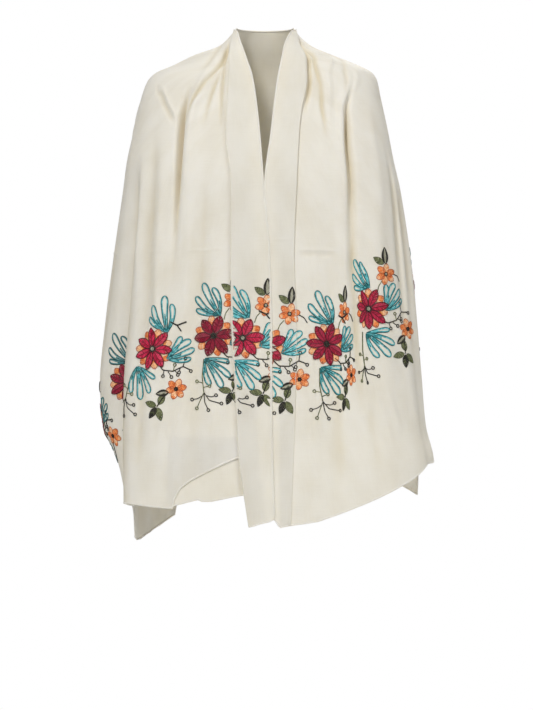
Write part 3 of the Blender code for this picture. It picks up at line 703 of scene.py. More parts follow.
CRIMSON = ((0.44, 0.007, 0.042), (0.60, 0.030, 0.090), (0.11, 0.002, 0.012))
ORANGE = ((0.80, 0.200, 0.045), (0.88, 0.36, 0.13), (0.60, 0.110, 0.025))
PEACH = ((0.92, 0.52, 0.27), (0.90, 0.38, 0.15), (0.88, 0.66, 0.46))
RUST = ((0.46, 0.090, 0.022), (0.55, 0.13, 0.035), (0.36, 0.060, 0.016))
TEAL = ((0.008, 0.105, 0.112), (0.016, 0.175, 0.185), (0.005, 0.062, 0.070))
AQUA = ((0.105, 0.430, 0.460), (0.230, 0.590, 0.610), (0.045, 0.300, 0.330))
OLIVE = ((0.125, 0.140, 0.060), (0.22, 0.235, 0.11), (0.065, 0.075, 0.035))
DARK = ((0.020, 0.019, 0.015), (0.045, 0.040, 0.030), (0.010, 0.010, 0.009))
STONE = ((0.36, 0.34, 0.25), (0.45, 0.43, 0.34), (0.25, 0.25, 0.18))
TONES = {"dark": DARK, "olive": OLIVE}
MIXED = (0.6, 0.3, 0.1)          # how often each of a thread's three tones is drawn

# In centimetres: how high the layers of stitches lie over the cloth, and the lengths of
# running stitches and the steps between the stitches that fill a leaf.
OVER_FANS, OVER_ORANGE, OVER_CRIMSON = 0.03, 0.10, 0.14
RUN, OUTLINE, FILL = 0.34, 0.36, 0.095

# Shares of a loop's length before and in its round tip, and how far inside the first
# line of stitches the second one runs, in centimetres.
TIP_START, TIP, INSIDE = 0.80, 0.20, 0.17

# Leaves and petals, in shares of their length: how far on a stitch leans, how much
# that varies, and where the tip starts, which may have tones of its own. OPEN_MIDDLE is
# the share of the width that an open leaf leaves free, FILLED the share that is sewn.
LEAN, LEAN_VARIES, LEAF_TIP, OPEN_MIDDLE, FILLED, FILL_WIDTH = 0.14, 0.05, 0.58, 0.45, 0.97, 0.115

# In metres: cloth left free of stitches along edges and at the middle of the back, how
# wide the crossing from a margin onto its front is, and the shortest stitch.
EDGE_FREE, FOLD_FREE, FRONT_FREE, HEM_FREE, BACK_FREE = 0.0012, 0.0008, 0.0015, 0.004, 0.002
CROSSING, SHORTEST = 0.0036, 0.0004
STRETCHED, STRETCH_FREE = 1.5, 0.002     # a stitch drawn out more than this is left out
CM = 0.01
RAISED = 0.22            # how high a stitch's middle lies over the cloth, in widths
FIRST_SEED = 11


def toned(tones, share):
    """Tones made lighter or darker by a share."""
    return tuple(tuple(min(part * share, 1.0) for part in tone) for tone in tones)


def ray_at(angle):
    return np.array([np.cos(angle), np.sin(angle)])


class Work:
    """Stitches of one unit, by the thread that they are sewn with."""

    def __init__(self, seed, drawn):
        self.rows = {}
        self.chance = np.random.default_rng(seed)
        self.turn = 0.0
        self.drawn = drawn

    def on_cloth(self, point):
        """A point of the chart, turned with its group and drawn in beside a fold."""
        x = point[0] * np.cos(self.turn) - point[1] * np.sin(self.turn)
        y = point[0] * np.sin(self.turn) + point[1] * np.cos(self.turn)
        for hand, start, share in self.drawn:
            if hand * x > start:
                x = hand * (start + (hand * x - start) * share)
        return x, y

    def sew(self, thread, start, end, width, tones, level=0.0, weights=MIXED):
        tone = tones[self.chance.choice(3, p=weights)]
        tone = np.array(tone) * self.chance.uniform(0.85, 1.12)
        row = (*self.on_cloth(start), *self.on_cloth(end), width, level, *tone)
        self.rows.setdefault(thread, []).append(row)

    def run(self, thread, points, width, tones, spacing=RUN, level=0.0, weights=MIXED):
        """Stitches end to end along a line of points."""
        points = np.array(points, float)
        steps = np.linalg.norm(np.diff(points, axis=0), axis=1)
        length = np.concatenate([[0], np.cumsum(steps)])
        at = np.linspace(0, length[-1], max(1, int(round(length[-1] / spacing))) + 1)
        line = list(zip(np.interp(at, length, points[:, 0]), np.interp(at, length, points[:, 1])))
        for start, end in zip(line, line[1:]):
            self.sew(thread, start, end, width, tones, level, weights)

    def ring(self, thread, middle, radius, width, tones, count, level=0.02):
        turn = np.linspace(0, 2 * np.pi, count + 1)
        line = list(zip(middle[0] + radius * np.cos(turn), middle[1] + radius * np.sin(turn)))
        for start, end in zip(line, line[1:]):
            self.sew(thread, start, end, width, tones, level)

    def leaf(self, thread, root, angle, length, half, tones, edge_tones, level=0.0, first=0.0,
             spacing=FILL, blunt=0.8, edge=True, open_middle=False, tip_tones=None,
             edge_width=FILL_WIDTH, fullest=0.85):
        """Pointed shape filled with stitches that fan out from its middle line."""
        ray = ray_at(angle)
        normal = np.array([-ray[1], ray[0]])
        root = np.array(root)

        def side_line(t, hand, share):
            half_there = half * np.sin(np.pi * np.clip(t, 0, 1) ** fullest) ** blunt
            return root + ray * length * t + normal * hand * half_there * share

        count = int(length * (1 - first) / spacing)
        for i in range(count):
            t = first + (1 - first) * (i + 0.5) / count
            reach = min(t + LEAN + LEAN_VARIES * self.chance.random(), 1.0)
            shades = tip_tones if tip_tones and t > LEAF_TIP else tones
            for hand in (1, -1):
                start = side_line(t, hand, OPEN_MIDDLE if open_middle else 0.0)
                self.sew(thread, start, side_line(reach, hand, FILLED), FILL_WIDTH, shades, level)
        if edge:
            t = np.linspace(first, 1, 12)[:, None]
            for hand in (1, -1):
                self.run(thread, side_line(t, hand, 1.0), edge_width, edge_tones, OUTLINE, level + 0.02)

    def loop(self, root, angle, length, half, bend, tone):
        """Long finger-shaped loop of a fan, sewn once in teal and again inside in aqua."""
        ray = ray_at(angle)
        normal = np.array([-ray[1], ray[0]])
        tip = TIP_START + TIP * np.sin(np.linspace(0.15, 1, 6) * np.pi / 2)
        t = np.concatenate([np.linspace(0.02, TIP_START, 12), tip])
        bow = bend * np.sin(np.pi * t) + 0.1 * bend * t
        middle = np.array(root) + ray * length * t[:, None] + normal * bow[:, None] * 2
        narrowing = np.clip(1 - (np.clip(t - TIP_START, 0, 1) / TIP) ** 2, 0, 1)
        width = 0.9 * half * t ** 0.62 * np.sqrt(narrowing)

        def line(hand, less):
            return middle + normal * hand * np.clip(width - less, 0.0, None)[:, None]

        # tone makes the fan's threads darker or lighter: painted shade below 1, painted light above 1.
        for thread, first, less, tones, wide in (("teal", 0, 0.0, TEAL, 0.19),
                                                 ("aqua", 3, INSIDE, AQUA, 0.20)):
            there_and_back = np.concatenate([line(1, less)[first:], line(-1, less)[first:][::-1]])
            self.run(thread, there_and_back, wide, toned(tones, tone), OUTLINE, 0.0, (0.5, 0.35, 0.15))
        vein = toned(TEAL[:2] + AQUA[:1], tone)
        self.run("aqua", line(1, half)[:8], 0.22, vein, OUTLINE, 0.0, (0.2, 0.4, 0.4))

    def core(self, x, y, kind, size, level):
        """Knotted middle of a flower."""
        self.ring("dark", (x, y), 0.46 * size, 0.24 * size, DARK, 10, level)
        thread, tones, width = ("olive", STONE, 0.24) if kind == "ring" else ("dark", DARK, 0.26)
        self.ring(thread, (x, y), 0.22 * size, width * size, tones, 8, level + 0.01)


def large_flower(work, petals, first_petal, core, tone):
    """Crimson petals with orange ones showing between them."""
    step = 2 * np.pi / petals
    deep = (CRIMSON[2],) * 3
    for i in range(petals):
        angle = np.radians(first_petal) + step * (i + 0.5) + work.chance.uniform(-0.06, 0.06)
        tones, tip_tones = (PEACH, ORANGE) if i % 2 else (ORANGE, PEACH)
        work.leaf("orange", 0.9 * ray_at(angle), angle, 2.85, 0.84, tones, RUST, OVER_FANS,
                  first=0.40, blunt=0.50, tip_tones=tip_tones)
    for i in range(petals):
        angle = np.radians(first_petal) + step * i + work.chance.uniform(-0.05, 0.05)
        root = 0.45 * ray_at(angle)
        length = 3.4 * work.chance.uniform(0.94, 1.06)
        # tone makes this unit's crimson darker or lighter: painted shade below 1, painted light above 1.
        work.leaf("crimson", root, angle, length, 5.5 / petals, toned(CRIMSON, tone), deep, OVER_ORANGE,
                  blunt=0.62, edge_width=0.17, fullest=1.12)
        work.run("crimson", (root, root + 0.8 * length * ray_at(angle)), 0.13, deep, OUTLINE, OVER_CRIMSON)
    work.core(0, 0, core, 1.0, OVER_CRIMSON)


def small_flower(work, x, y, radius, core):
    for i in range(6):
        angle = np.radians(60 * i + 20) + work.chance.uniform(-0.08, 0.08)
        root = np.array((x, y)) + 0.25 * ray_at(angle)
        work.leaf("orange", root, angle, radius - 0.25, 0.60, PEACH if i % 3 == 1 else ORANGE, RUST,
                  blunt=0.45, spacing=0.10, tip_tones=PEACH if i % 2 else ORANGE)
    work.core(x, y, core, 0.72, 0.07)


def unit_work(seed, unit):
    """All stitches of a unit in its chart."""
    work = Work(seed, unit["drawn"])
    for group in (name for name in GROUPS if name not in unit["left_out"]):
        work.turn = np.radians(unit["group_turns"].get(group, unit["turn"]))
        for x, y, angle, *sizes in FANS.get(group, ()):
            work.loop((x, y), np.radians(angle), *sizes, unit["fan_painted_shading"])
        for thread, width, points in TWIGS.get(group, ()):
            work.run(thread, points, width, TONES[thread])
        for x, y, angle, thread in BERRIES.get(group, ()):
            middle = np.array((x, y)) + 0.30 * ray_at(np.radians(angle))
            work.ring(thread, middle, 0.27, 0.19, TONES[thread], 8)
        for x, y, angle, length, half, finish in LEAVES.get(group, ()):
            place = (x, y), np.radians(angle), length
            if finish == "open":
                work.leaf("olive", *place, half * 0.6, STONE, OLIVE, edge=False)
                work.leaf("dark", *place, half, DARK, DARK, 0.02, open_middle=True)
            elif finish == "olive":
                work.leaf("olive", *place, half, OLIVE, (OLIVE[2],) * 3)
            else:
                work.leaf("dark", *place, half, DARK[:2] + OLIVE[:1], DARK)
        if group in SMALL_FLOWERS:
            small_flower(work, *SMALL_FLOWERS[group])
    work.turn = np.radians(unit["turn"])
    large_flower(work, unit["petals"], unit["first_petal"], unit["core"], unit["tone"])
    return work.rows


def ground_lift(ground, side, length, place, drop):
    """Height of the ground over the plain cloth, as margins lie on the fronts, and where it is."""
    top = SEAM + 2 * rolls(side, drop)
    edge = length_to(side, np.full(place.shape, MARGIN), drop)
    if ground == "left_margin":
        return top, (length < edge - FOLD_FREE) & (length > EDGE_FREE)
    if ground == "left":
        return np.zeros(place.shape), (length > edge + FRONT_FREE) | (place > ARMPIT)
    return top * (1 - ease((length - edge + EDGE_FREE) / CROSSING)), length > EDGE_FREE


def laid_out(unit, rows):
    """Ends, outward directions, widths and colours of a unit's stitches on the cloth."""
    side = "left" if unit["ground"].startswith("left") else "right"
    hem = LEFT_MARGIN_HEM if unit["ground"] == "left_margin" else HEMS[side]
    hand = -1 if side == "left" else 1
    rows = np.array(rows)
    ends, keep = [], np.ones(len(rows), bool)
    for x, y in (rows.T[0:2], rows.T[2:4]):
        drop = unit["drop"] / 1000 - CM * y
        start = length_to(side, np.full(drop.shape, unit["place"]), drop)
        length = start + unit["shift"] / 1000 + hand * CM * x
        place = place_at(side, length, drop)
        lift, there = ground_lift(unit["ground"], side, length, place, drop)
        keep &= there & (length < length_to(side, np.full(drop.shape, MIDDLE), drop) - BACK_FREE)
        keep &= drop < hem_drop(hem, place) - HEM_FREE
        ends.append((place, drop, lift + rows[:, 5] * CM))
    (place_a, drop_a, lift_a), (place_b, drop_b, lift_b) = [[part[keep] for part in end] for end in ends]
    rows = rows[keep]
    start, end = surface(side, place_a, drop_a, lift_a), surface(side, place_b, drop_b, lift_b)
    out = direction_out(side, (place_a + place_b) / 2, (drop_a + drop_b) / 2)
    chart = CM * np.hypot(rows[:, 2] - rows[:, 0], rows[:, 3] - rows[:, 1])
    real = np.linalg.norm(end - start, axis=1)
    fine = (real < STRETCHED * chart + STRETCH_FREE) & (real > SHORTEST)
    return start[fine], end[fine], out[fine], rows[fine, 4] * CM, rows[fine, 6:9]


class Tree:
    """A node tree whose nodes are made, set and joined in one call."""

    def __init__(self, tree):
        self.tree = tree

    def join(self, value, socket):
        """Sets a socket to a value or links it to another socket."""
        if isinstance(value, bpy.types.NodeSocket):
            self.tree.links.new(value, socket)
        else:
            socket.default_value = value

    def node(self, kind, inputs=(), **settings):
        """A node with its settings and with its inputs by name or number."""
        made = self.tree.nodes.new(kind)
        for name, value in settings.items():
            setattr(made, name, value)
        for name, value in dict(inputs).items():
            self.join(value, made.inputs[name])
        return made

    def add(self, kind, inputs=(), **settings):
        """The first output of a new node."""
        outputs = self.node(kind, inputs, **settings).outputs
        return next(socket for socket in outputs if socket.enabled)

    def math(self, operation, *values):
        return self.add("ShaderNodeMath", enumerate(values), operation=operation)

    def times(self, *values):
        return self.math("MULTIPLY", *values)

    def plus(self, *values):
        return self.math("ADD", *values)

    def minus(self, *values):
        return self.math("SUBTRACT", *values)

    def stored(self, attribute, data_type="FLOAT_VECTOR"):
        return self.add("GeometryNodeInputNamedAttribute", {"Name": attribute}, data_type=data_type)

    def together(self, *shapes):
        both = self.node("GeometryNodeJoinGeometry")
        for shape in shapes:
            self.join(shape, both.inputs[0])
        return both.outputs[0]

    def finished(self, shape, material):
        """Makes a shape real and gives it its material."""
        real = self.add("GeometryNodeRealizeInstances", {"Geometry": shape})
        return self.add("GeometryNodeSetMaterial", {"Geometry": real, "Material": material})

    def thread_shape(self, sides):
        """One straight bit of thread along Z, with its chart kept for the twist."""
        tube = self.node("GeometryNodeMeshCylinder", {"Vertices": sides, "Radius": 0.5, "Depth": 1.0}).outputs
        chart = {"Name": "thread_chart", "Geometry": tube["Mesh"], "Value": tube["UV Map"]}
        return self.add("GeometryNodeStoreNamedAttribute", chart, data_type="FLOAT2", domain="CORNER")

    def lay_threads(self, points, shape, size):
        """A thread on each point: its length lies along, its flat side faces out."""
        facing = {"Primary Axis": self.stored("along"), "Secondary Axis": self.stored("out")}
        turn = self.add("FunctionNodeAxesToRotation", facing, primary_axis="Z", secondary_axis="X")
        scale = self.add("ShaderNodeCombineXYZ", enumerate(size))
        laid = {"Points": points, "Instance": shape, "Rotation": turn, "Scale": scale}
        return self.add("GeometryNodeInstanceOnPoints", laid)


def new_tree(name, kind, inputs, outputs):
    """A node group with named inputs and outputs."""
    group = bpy.data.node_groups.new(name, kind)
    for in_out, rows in (("INPUT", inputs), ("OUTPUT", outputs)):
        for label, socket_kind, *value in rows:
            socket = group.interface.new_socket(label, in_out=in_out, socket_type="NodeSocket" + socket_kind)
            if value:
                socket.default_value = value[0]
    tree = Tree(group)
    return tree, tree.node("NodeGroupInput").outputs, tree.node("NodeGroupOutput").inputs


def embroidery_tree():
    """Geometry Nodes: every point becomes one satin stitch."""
    tree, given, result = new_tree("embroidery_stitches", "GeometryNodeTree", (
        ("Geometry", "Geometry"),
        ("Roundness", "Float", 0.60),
        ("Overlap", "Float", 1.15),
        ("Sides", "Int", 5),
        ("Thread", "Material"),
    ), (("Geometry", "Geometry"),))
    width = tree.stored("thread_width", "FLOAT")
    length = tree.times(tree.stored("thread_length", "FLOAT"), given["Overlap"])
    size = tree.times(width, given["Roundness"]), width, length
    laid = tree.lay_threads(given["Geometry"], tree.thread_shape(given["Sides"]), size)
    tree.join(tree.finished(laid, given["Thread"]), result["Geometry"])
    return tree.tree


def hem_tree():
    """Geometry Nodes: a path becomes a narrow rolled hem with a row of stitches on each face."""
    tree, given, result = new_tree("rolled_hem", "GeometryNodeTree", (
        ("Geometry", "Geometry"),
        ("Hem Width", "Float", 0.0036),
        ("Hem Height", "Float", 0.0018),
        ("Hem Sides", "Int", 8),
        ("Stitch Spacing", "Float", 0.0034),
        ("Stitch Length", "Float", 0.0024),
        ("Stitch Width", "Float", 0.0005),
        ("Cloth", "Material"),
        ("Thread", "Material"),
    ), (("Geometry", "Geometry"),))
    line = tree.add("GeometryNodeMeshToCurve", {"Mesh": given["Geometry"]})
    path = tree.add("GeometryNodeSetCurveNormal", {"Curve": line, "Normal": tree.stored("out")}, mode="FREE")

    circle = tree.add("GeometryNodeCurvePrimitiveCircle", {"Radius": 0.5, "Resolution": given["Hem Sides"]})
    size = tree.add("ShaderNodeCombineXYZ", {"X": given["Hem Height"], "Y": given["Hem Width"], "Z": 1.0})
    section = tree.add("GeometryNodeTransform", {"Geometry": circle, "Scale": size})
    roll = tree.add("GeometryNodeCurveToMesh", {"Curve": path, "Profile Curve": section, "Fill Caps": True,
                                                "Scale": tree.stored("hem_size", "FLOAT")})
    smooth = tree.add("GeometryNodeSetShadeSmooth", {"Geometry": roll})

    spots = tree.add("GeometryNodeResampleCurve", {"Curve": path, "Length": given["Stitch Spacing"]},
                     mode="LENGTH")
    along = {"Name": "along", "Geometry": spots, "Value": tree.add("GeometryNodeInputTangent")}
    kept = tree.add("GeometryNodeStoreNamedAttribute", along, data_type="FLOAT_VECTOR", domain="POINT")
    points = tree.add("GeometryNodeCurveToPoints", {"Curve": kept}, mode="EVALUATED")
    shape, rows = tree.thread_shape(5), []
    for hand in (0.5, -0.5):
        height = tree.times(given["Hem Height"], hand)
        reach = tree.add("ShaderNodeVectorMath", {"Vector": tree.stored("out"), "Scale": height},
                         operation="SCALE")
        moved = tree.add("GeometryNodeSetPosition", {"Geometry": points, "Offset": reach})
        size = given["Stitch Width"], given["Stitch Width"], given["Stitch Length"]
        rows.append(tree.lay_threads(moved, shape, size))
    whole = tree.together(tree.finished(smooth, given["Cloth"]),
                          tree.finished(tree.together(*rows), given["Thread"]))
    tree.join(whole, result["Geometry"])
    return tree.tree


def made_by(group, name, source, values):
    """Runs a node group on a mesh and keeps the result as a plain mesh."""
    host = shown(name + "_source", source)
    modifier = host.modifiers.new("make", "NODES")
    modifier.node_group = group
    for item in group.interface.items_tree:
        if item.in_out == "INPUT" and item.name in values:
            modifier[item.identifier] = values[item.name]
    host.update_tag()
    graph = bpy.context.evaluated_depsgraph_get()
    mesh = bpy.data.meshes.new_from_object(host.evaluated_get(graph), depsgraph=graph)
    host.modifiers.remove(modifier)
    bpy.data.objects.remove(host)
    bpy.data.meshes.remove(source)
    mesh.name = name
    return shown(name, mesh)


def point_mesh(name, points, edges, **attributes):
    """Points, and edges between them, that carry named values."""
    mesh = bpy.data.meshes.new(name)
    mesh.from_pydata(points.tolist(), edges, [])
    kinds = {1: ("FLOAT", "value"), 3: ("FLOAT_VECTOR", "vector"), 4: ("FLOAT_COLOR", "color")}
    for label, values in attributes.items():
        kind, field = kinds[values.size // len(points)]
        layer = mesh.attributes.new(label, kind, "POINT")
        layer.data.foreach_set(field, values.astype(np.float32).ravel())
    return mesh


def embroidery(threads):
    """Sews all units and makes one piece of each thread."""
    sewn = {}
    for number, row in enumerate(UNITS):
        unit = dict(zip(UNIT_COLUMNS, row))
        for thread, stitches in unit_work(number + FIRST_SEED, unit).items():
            sewn.setdefault(thread, []).append(laid_out(unit, stitches))
    group, pieces = embroidery_tree(), []
    for thread, parts in sorted(sewn.items()):
        start, end, out, width, colour = (np.concatenate(part) for part in zip(*parts))
        along = end - start
        length = np.linalg.norm(along, axis=1)
        middle = (start + end) / 2 + out * (width * RAISED)[:, None]
        opaque = np.pad(colour, ((0, 0), (0, 1)), constant_values=1)
        source = point_mesh(thread, middle, [], along=along / length[:, None], out=out,
                            thread_length=length, thread_width=width, thread_colour=opaque)
        piece = made_by(group, "embroidery_" + thread, source, {"Thread": threads[thread]})
        piece.data.materials.clear()
        piece.data.materials.append(threads[thread])
        pieces.append(piece)
    return pieces


HEM_END, HEM_SLIMS = 0.35, 0.009     # a hem's least size at its ends, and over what length it slims


def rolled_hem(group, name, outer, inner, pick, width, height, materials):
    """Rolled hem along an edge of a cloth, slimmer where it ends at a corner."""
    face, back = outer[pick], inner[pick]
    middle = (face + back) / 2
    run = np.concatenate([[0], np.cumsum(np.linalg.norm(np.diff(middle, axis=0), axis=1))])
    size = HEM_END + (1 - HEM_END) * ease(np.minimum(run, run[-1] - run) / HEM_SLIMS)
    edges = [(i, i + 1) for i in range(len(middle) - 1)]
    source = point_mesh(name, middle, edges, out=unit_length(face - back), hem_size=size)
    return made_by(group, name, source, {"Hem Width": width, "Hem Height": height, **materials})


SURFACE_OUTPUTS = (("Colour", "Color"), ("Height", "Float"), ("Roughness", "Float"))


def weave_group():
    """Shader group: plain weave with uneven threads, painted shade in the hollows between the threads and in
    folds, and the mottling of washed cloth.
    """
    tree, given, result = new_tree("cloth_weave", "ShaderNodeTree", (
        ("Chart", "Vector"),
        ("Threads Per Metre", "Float", 2100.0),
        ("Light Colour", "Color", (0.86, 0.81, 0.70, 1.0)),
        ("Shade Colour", "Color", (0.70, 0.64, 0.52, 1.0)),
        ("Fold Colour", "Color", (0.60, 0.49, 0.30, 1.0)),
        ("Fold", "Float", 0.0),
        ("Slub Amount", "Float", 0.22),
        ("Mottle Amount", "Float", 0.90),
    ), SURFACE_OUTPUTS)

    def cloudy(stretch, detail):
        """Noise over the chart, drawn out along the threads of one direction."""
        place = tree.add("ShaderNodeMapping", {"Scale": stretch, "Vector": given["Chart"]})
        return tree.add("ShaderNodeTexNoise", {"Scale": 1.0, "Detail": detail, "Vector": place})

    def mix(share, first, second):
        return tree.add("ShaderNodeMix", {"Factor": share, "A": first, "B": second}, data_type="RGBA")

    across = tree.node("ShaderNodeSeparateXYZ", {0: given["Chart"]}).outputs
    threads = [tree.times(across[axis], given["Threads Per Metre"]) for axis in ("X", "Y")]
    crown = [tree.math("ABSOLUTE", tree.math("SINE", tree.times(thread, np.pi))) for thread in threads]
    cells = tree.plus(*(tree.math("FLOOR", thread) for thread in threads))
    over = tree.math("MODULO", tree.math("ABSOLUTE", cells), 2.0)
    weave = tree.plus(tree.times(crown[0], over), tree.times(crown[1], tree.minus(1.0, over)))
    slubs = tree.plus(cloudy((900.0, 26.0, 40.0), 2.0), cloudy((26.0, 900.0, 40.0), 2.0))
    slubs = tree.times(tree.minus(slubs, 1.0), given["Slub Amount"])
    mottle = tree.times(tree.minus(cloudy((16.0, 9.0, 12.0), 4.0), 0.5), given["Mottle Amount"])
    # Painted shade in the hollows between the thread crowns: lower weave is drawn towards the shade colour.
    painted_weave_hollow_shade = tree.times(tree.minus(0.62, weave), 0.16)
    shade = tree.plus(tree.plus(tree.plus(slubs, mottle), painted_weave_hollow_shade), 0.12)
    plain = mix(shade, given["Light Colour"], given["Shade Colour"])
    # Painted shade: the colour turns towards the tan fold shade colour where a point lies deep in a crease, a
    # fold or the pleat.
    tree.join(mix(tree.times(given["Fold"], 0.62), plain, given["Fold Colour"]), result["Colour"])
    tree.join(tree.plus(weave, tree.times(slubs, 2.0)), result["Height"])
    tree.join(tree.plus(0.80, tree.times(shade, 0.25)), result["Roughness"])
    return tree.tree


def twist_group():
    """Shader group: the plies of a spun thread, with painted shade in the grooves between them, and its
    uneven dye.
    """
    tree, given, result = new_tree("thread_twist", "ShaderNodeTree", (
        ("Chart", "Vector"),
        ("Place", "Vector"),
        ("Dye", "Color", (0.5, 0.5, 0.5, 1.0)),
        ("Turns", "Float", 5.0),
        ("Shade Amount", "Float", 0.45),
    ), SURFACE_OUTPUTS)
    parts = tree.node("ShaderNodeSeparateXYZ", {0: given["Chart"]}).outputs
    around = tree.plus(tree.times(parts["X"], 2.0), tree.times(parts["Y"], given["Turns"]))
    ply = tree.math("ABSOLUTE", tree.math("SINE", tree.times(around, np.pi)))
    noise = tree.add("ShaderNodeTexNoise", {"Scale": 260.0, "Vector": given["Place"]})
    shade = tree.times(tree.minus(1.0, ply), given["Shade Amount"])
    shade = tree.plus(shade, tree.times(tree.minus(noise, 0.5), 0.5))
    dyed = tree.add("ShaderNodeHueSaturation", {"Value": tree.minus(1.10, shade), "Color": given["Dye"]})
    tree.join(dyed, result["Colour"])
    tree.join(ply, result["Height"])
    tree.join(tree.plus(0.42, tree.times(shade, 0.4)), result["Roughness"])
    return tree.tree


def principled(name, surface):
    """A material with the finish of its surface, its tree and its shader."""
    material = bpy.data.materials.new(name)
    material.use_nodes = True
    shader = material.node_tree.nodes["Principled BSDF"]
    for label, value in surface.items():
        shader.inputs[label].default_value = value
    return material, Tree(material.node_tree), shader


def dress(tree, shader, group, bump_distance, bump_strength, inputs):
    """Joins a shader group, with its own values, to the shader."""
    effect = tree.node("ShaderNodeGroup", inputs, node_tree=group).outputs
    bump = tree.add("ShaderNodeBump", {"Distance": bump_distance, "Strength": bump_strength,
                                       "Height": effect["Height"]})
    tree.join(effect["Colour"], shader.inputs["Base Color"])
    tree.join(effect["Roughness"], shader.inputs["Roughness"])
    tree.join(bump, shader.inputs["Normal"])


CLOTH_FINISH = {"Sheen Weight": 0.12, "Sheen Roughness": 0.55, "Specular IOR Level": 0.28,
                "Subsurface Weight": 0.35, "Subsurface Radius": (0.0045, 0.0040, 0.0030),
                "Subsurface Scale": 1.0}


def object_place(tree):
    return tree.node("ShaderNodeTexCoord").outputs["Object"]


def cloth_material(name, group, light, shade, charted=True, threads=2100.0):
    material, tree, shader = principled(name, CLOTH_FINISH)
    chart = tree.add("ShaderNodeUVMap", uv_map="cloth_chart") if charted else object_place(tree)
    # The attribute holds the painted shade in creases, folds and the pleat, mixed into the colour by the
    # weave group.
    fold = tree.node("ShaderNodeAttribute", attribute_name="painted_fold_shade").outputs["Fac"]
    dress(tree, shader, group, 0.00012, 0.6, {"Chart": chart, "Fold": fold, "Threads Per Metre": threads,
                                              "Light Colour": (*light, 1.0), "Shade Colour": (*shade, 1.0)})
    return material


def thread_material(name, group, turns, sheen, specular, colour=None):
    material, tree, shader = principled(name, {"Sheen Weight": sheen, "Specular IOR Level": specular})
    chart = tree.node("ShaderNodeAttribute", attribute_name="thread_chart").outputs["Vector"]
    dye = (*colour, 1.0) if colour else tree.add("ShaderNodeAttribute", attribute_name="thread_colour")
    dress(tree, shader, group, 0.0002, 0.5, {"Chart": chart, "Place": object_place(tree), "Dye": dye,
                                             "Turns": turns})
    return material


# Finishes. Those of the threads: turns of the twist, sheen and gloss.
weave, twist = weave_group(), twist_group()
CREAM_SHADE = (0.60, 0.52, 0.37)
cream = cloth_material("cream_cloth", weave, (0.84, 0.79, 0.68), CREAM_SHADE)
double_cream = cloth_material("double_cream_cloth", weave, (0.83, 0.775, 0.655), CREAM_SHADE)
# The rolled hems' cream is lighter than the cloth's, in its light and its shade colour: a painted highlight,
# as a rolled hem catches the light.
hem_cream_painted_highlight = cloth_material("rolled_hem_cloth_painted_highlight", weave, (0.86, 0.82, 0.73), (0.68, 0.61, 0.49), False, 1500.0)
hem_thread = thread_material("hem_thread", twist, 5.0, 0.0, 0.5, (0.80, 0.75, 0.64))
THREAD_FINISHES = {
    "crimson": (5.0, 0.02, 0.30),
    "orange": (5.0, 0.04, 0.30),
    "teal": (6.0, 0.02, 0.30),
    "aqua": (6.0, 0.04, 0.30),
    "olive": (4.0, 0.02, 0.25),
    "dark": (4.0, 0.0, 0.20),
}
threads = {name: thread_material(name + "_thread", twist, *finish)
           for name, finish in THREAD_FINISHES.items()}

# Cloth.
sheet, sheet_faces = main_cloth(cream)
left_margin, left_faces = margin_cloth("left", double_cream)
right_margin, right_faces = margin_cloth("right", double_cream)
under, under_faces = under_cloth(double_cream)

# Rolled hems: the cloth and the edge of it that each lies on, its width and height.
narrow_hem, EVERY = hem_tree(), slice(None)
left_top, right_top = slice(left_faces[0].shape[1] - MARGIN_COLUMNS, None), slice(0, MARGIN_COLUMNS)
HEM_PATHS = (
    ("lower_hem", sheet_faces, (-1, EVERY), 0.0038, 0.0020),
    ("neck_hem", sheet_faces, (0, EVERY), 0.0034, 0.0018),
    ("left_margin_foot_hem", left_faces, (-1, left_top), 0.0038, 0.0020),
    ("left_inner_hem", left_faces, (EVERY, -1), 0.0036, 0.0019),
    ("right_margin_foot_hem", right_faces, (-1, right_top), 0.0038, 0.0020),
    ("right_inner_hem", right_faces, (EVERY, 0), 0.0036, 0.0019),
    ("left_margin_neck_hem", left_faces, (0, left_top), 0.0034, 0.0018),
    ("right_margin_neck_hem", right_faces, (0, right_top), 0.0034, 0.0018),
    ("under_hem", under_faces, (-1, EVERY), 0.0038, 0.0020),
)
hems = {name: rolled_hem(narrow_hem, name, *faces[:2], *row, {"Cloth": hem_cream_painted_highlight, "Thread": hem_thread})
        for name, faces, *row in HEM_PATHS}
sewn = embroidery(threads)

# What each piece stands for and rides on.
STRETCHES = ("left_front", "left_arm", "back", "right_arm", "right_front")
MAIN_NODES = [stretch + "_" + part for stretch in STRETCHES for part in ("upper", "middle", "lower")]
for piece, nodes in ((sheet, MAIN_NODES), (left_margin, ["left_front_margin"]),
                     (right_margin, ["right_front_margin"]), (under, ["left_under_layer"])):
    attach(piece, "root")
    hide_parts(*nodes)
for piece in (*hems.values(), *sewn):
    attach(piece, "root")

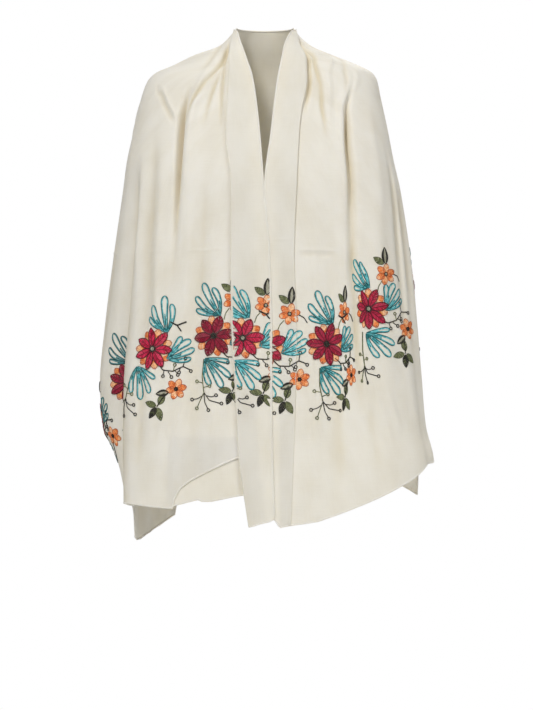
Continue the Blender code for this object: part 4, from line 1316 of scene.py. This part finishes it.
# Studio.
AIM = Vector((0.0037, 0.0, -0.568))
CAMERA_AWAY = 6.0
SEEN_WIDTH, SEEN_NEARER = 1.3135, 0.12   # what the picture spans, and how much nearer the front lies
camera = shown("camera", bpy.data.cameras.new("camera"))
camera.location = AIM + Vector((0.0, -CAMERA_AWAY, 0.0))
camera.rotation_euler = (np.pi / 2, 0.0, 0.0)
camera.data.sensor_width = 36.0
camera.data.lens = 36.0 * (CAMERA_AWAY - SEEN_NEARER) / SEEN_WIDTH
bpy.context.scene.camera = camera

FLOOR_HEIGHT, FLOOR_RADIUS = -1.45, 1.7
turn = np.linspace(0, 2 * np.pi, 96, endpoint=False)
rim = [(FLOOR_RADIUS * np.cos(a), FLOOR_RADIUS * np.sin(a), FLOOR_HEIGHT) for a in turn]
floor = shown("floor", bpy.data.meshes.new("floor"))
floor.data.from_pydata(rim, [], [tuple(range(len(rim)))])
pale = principled("pale_floor", {"Base Color": (0.92, 0.92, 0.91, 1.0), "Roughness": 0.9})
floor.data.materials.append(pale[0])

SKY_SEEN, SKY_LIGHT = 1.0, 0.27      # how bright the sky looks, and how bright it shines
world = bpy.data.worlds.new("studio")
world.use_nodes = True
sky = Tree(world.node_tree)
background = world.node_tree.nodes["Background"]
background.inputs["Color"].default_value = (1.0, 1.0, 1.0, 1.0)
seen = sky.times(sky.add("ShaderNodeLightPath"), SKY_SEEN - SKY_LIGHT)
sky.join(sky.plus(seen, SKY_LIGHT), background.inputs["Strength"])
bpy.context.scene.world = world
bpy.context.scene.view_settings.view_transform = "Standard"

LIGHTS_AIM = Vector((0.0, 0.0, -0.4))
for name, place, size, power_in_watts in (
    ("key", (-1.3, -3.2, 2.6), 0.8, 138),
    ("fill", (2.6, -2.4, 0.4), 1.6, 38),
    ("back", (1.2, 3.4, 2.2), 1.4, 105),
):
    light = shown(name, bpy.data.lights.new(name, "AREA"))
    light.data.size = size
    light.data.energy = power_in_watts
    light.location = place
    light.rotation_euler = (LIGHTS_AIM - Vector(place)).to_track_quat("-Z", "Y").to_euler()
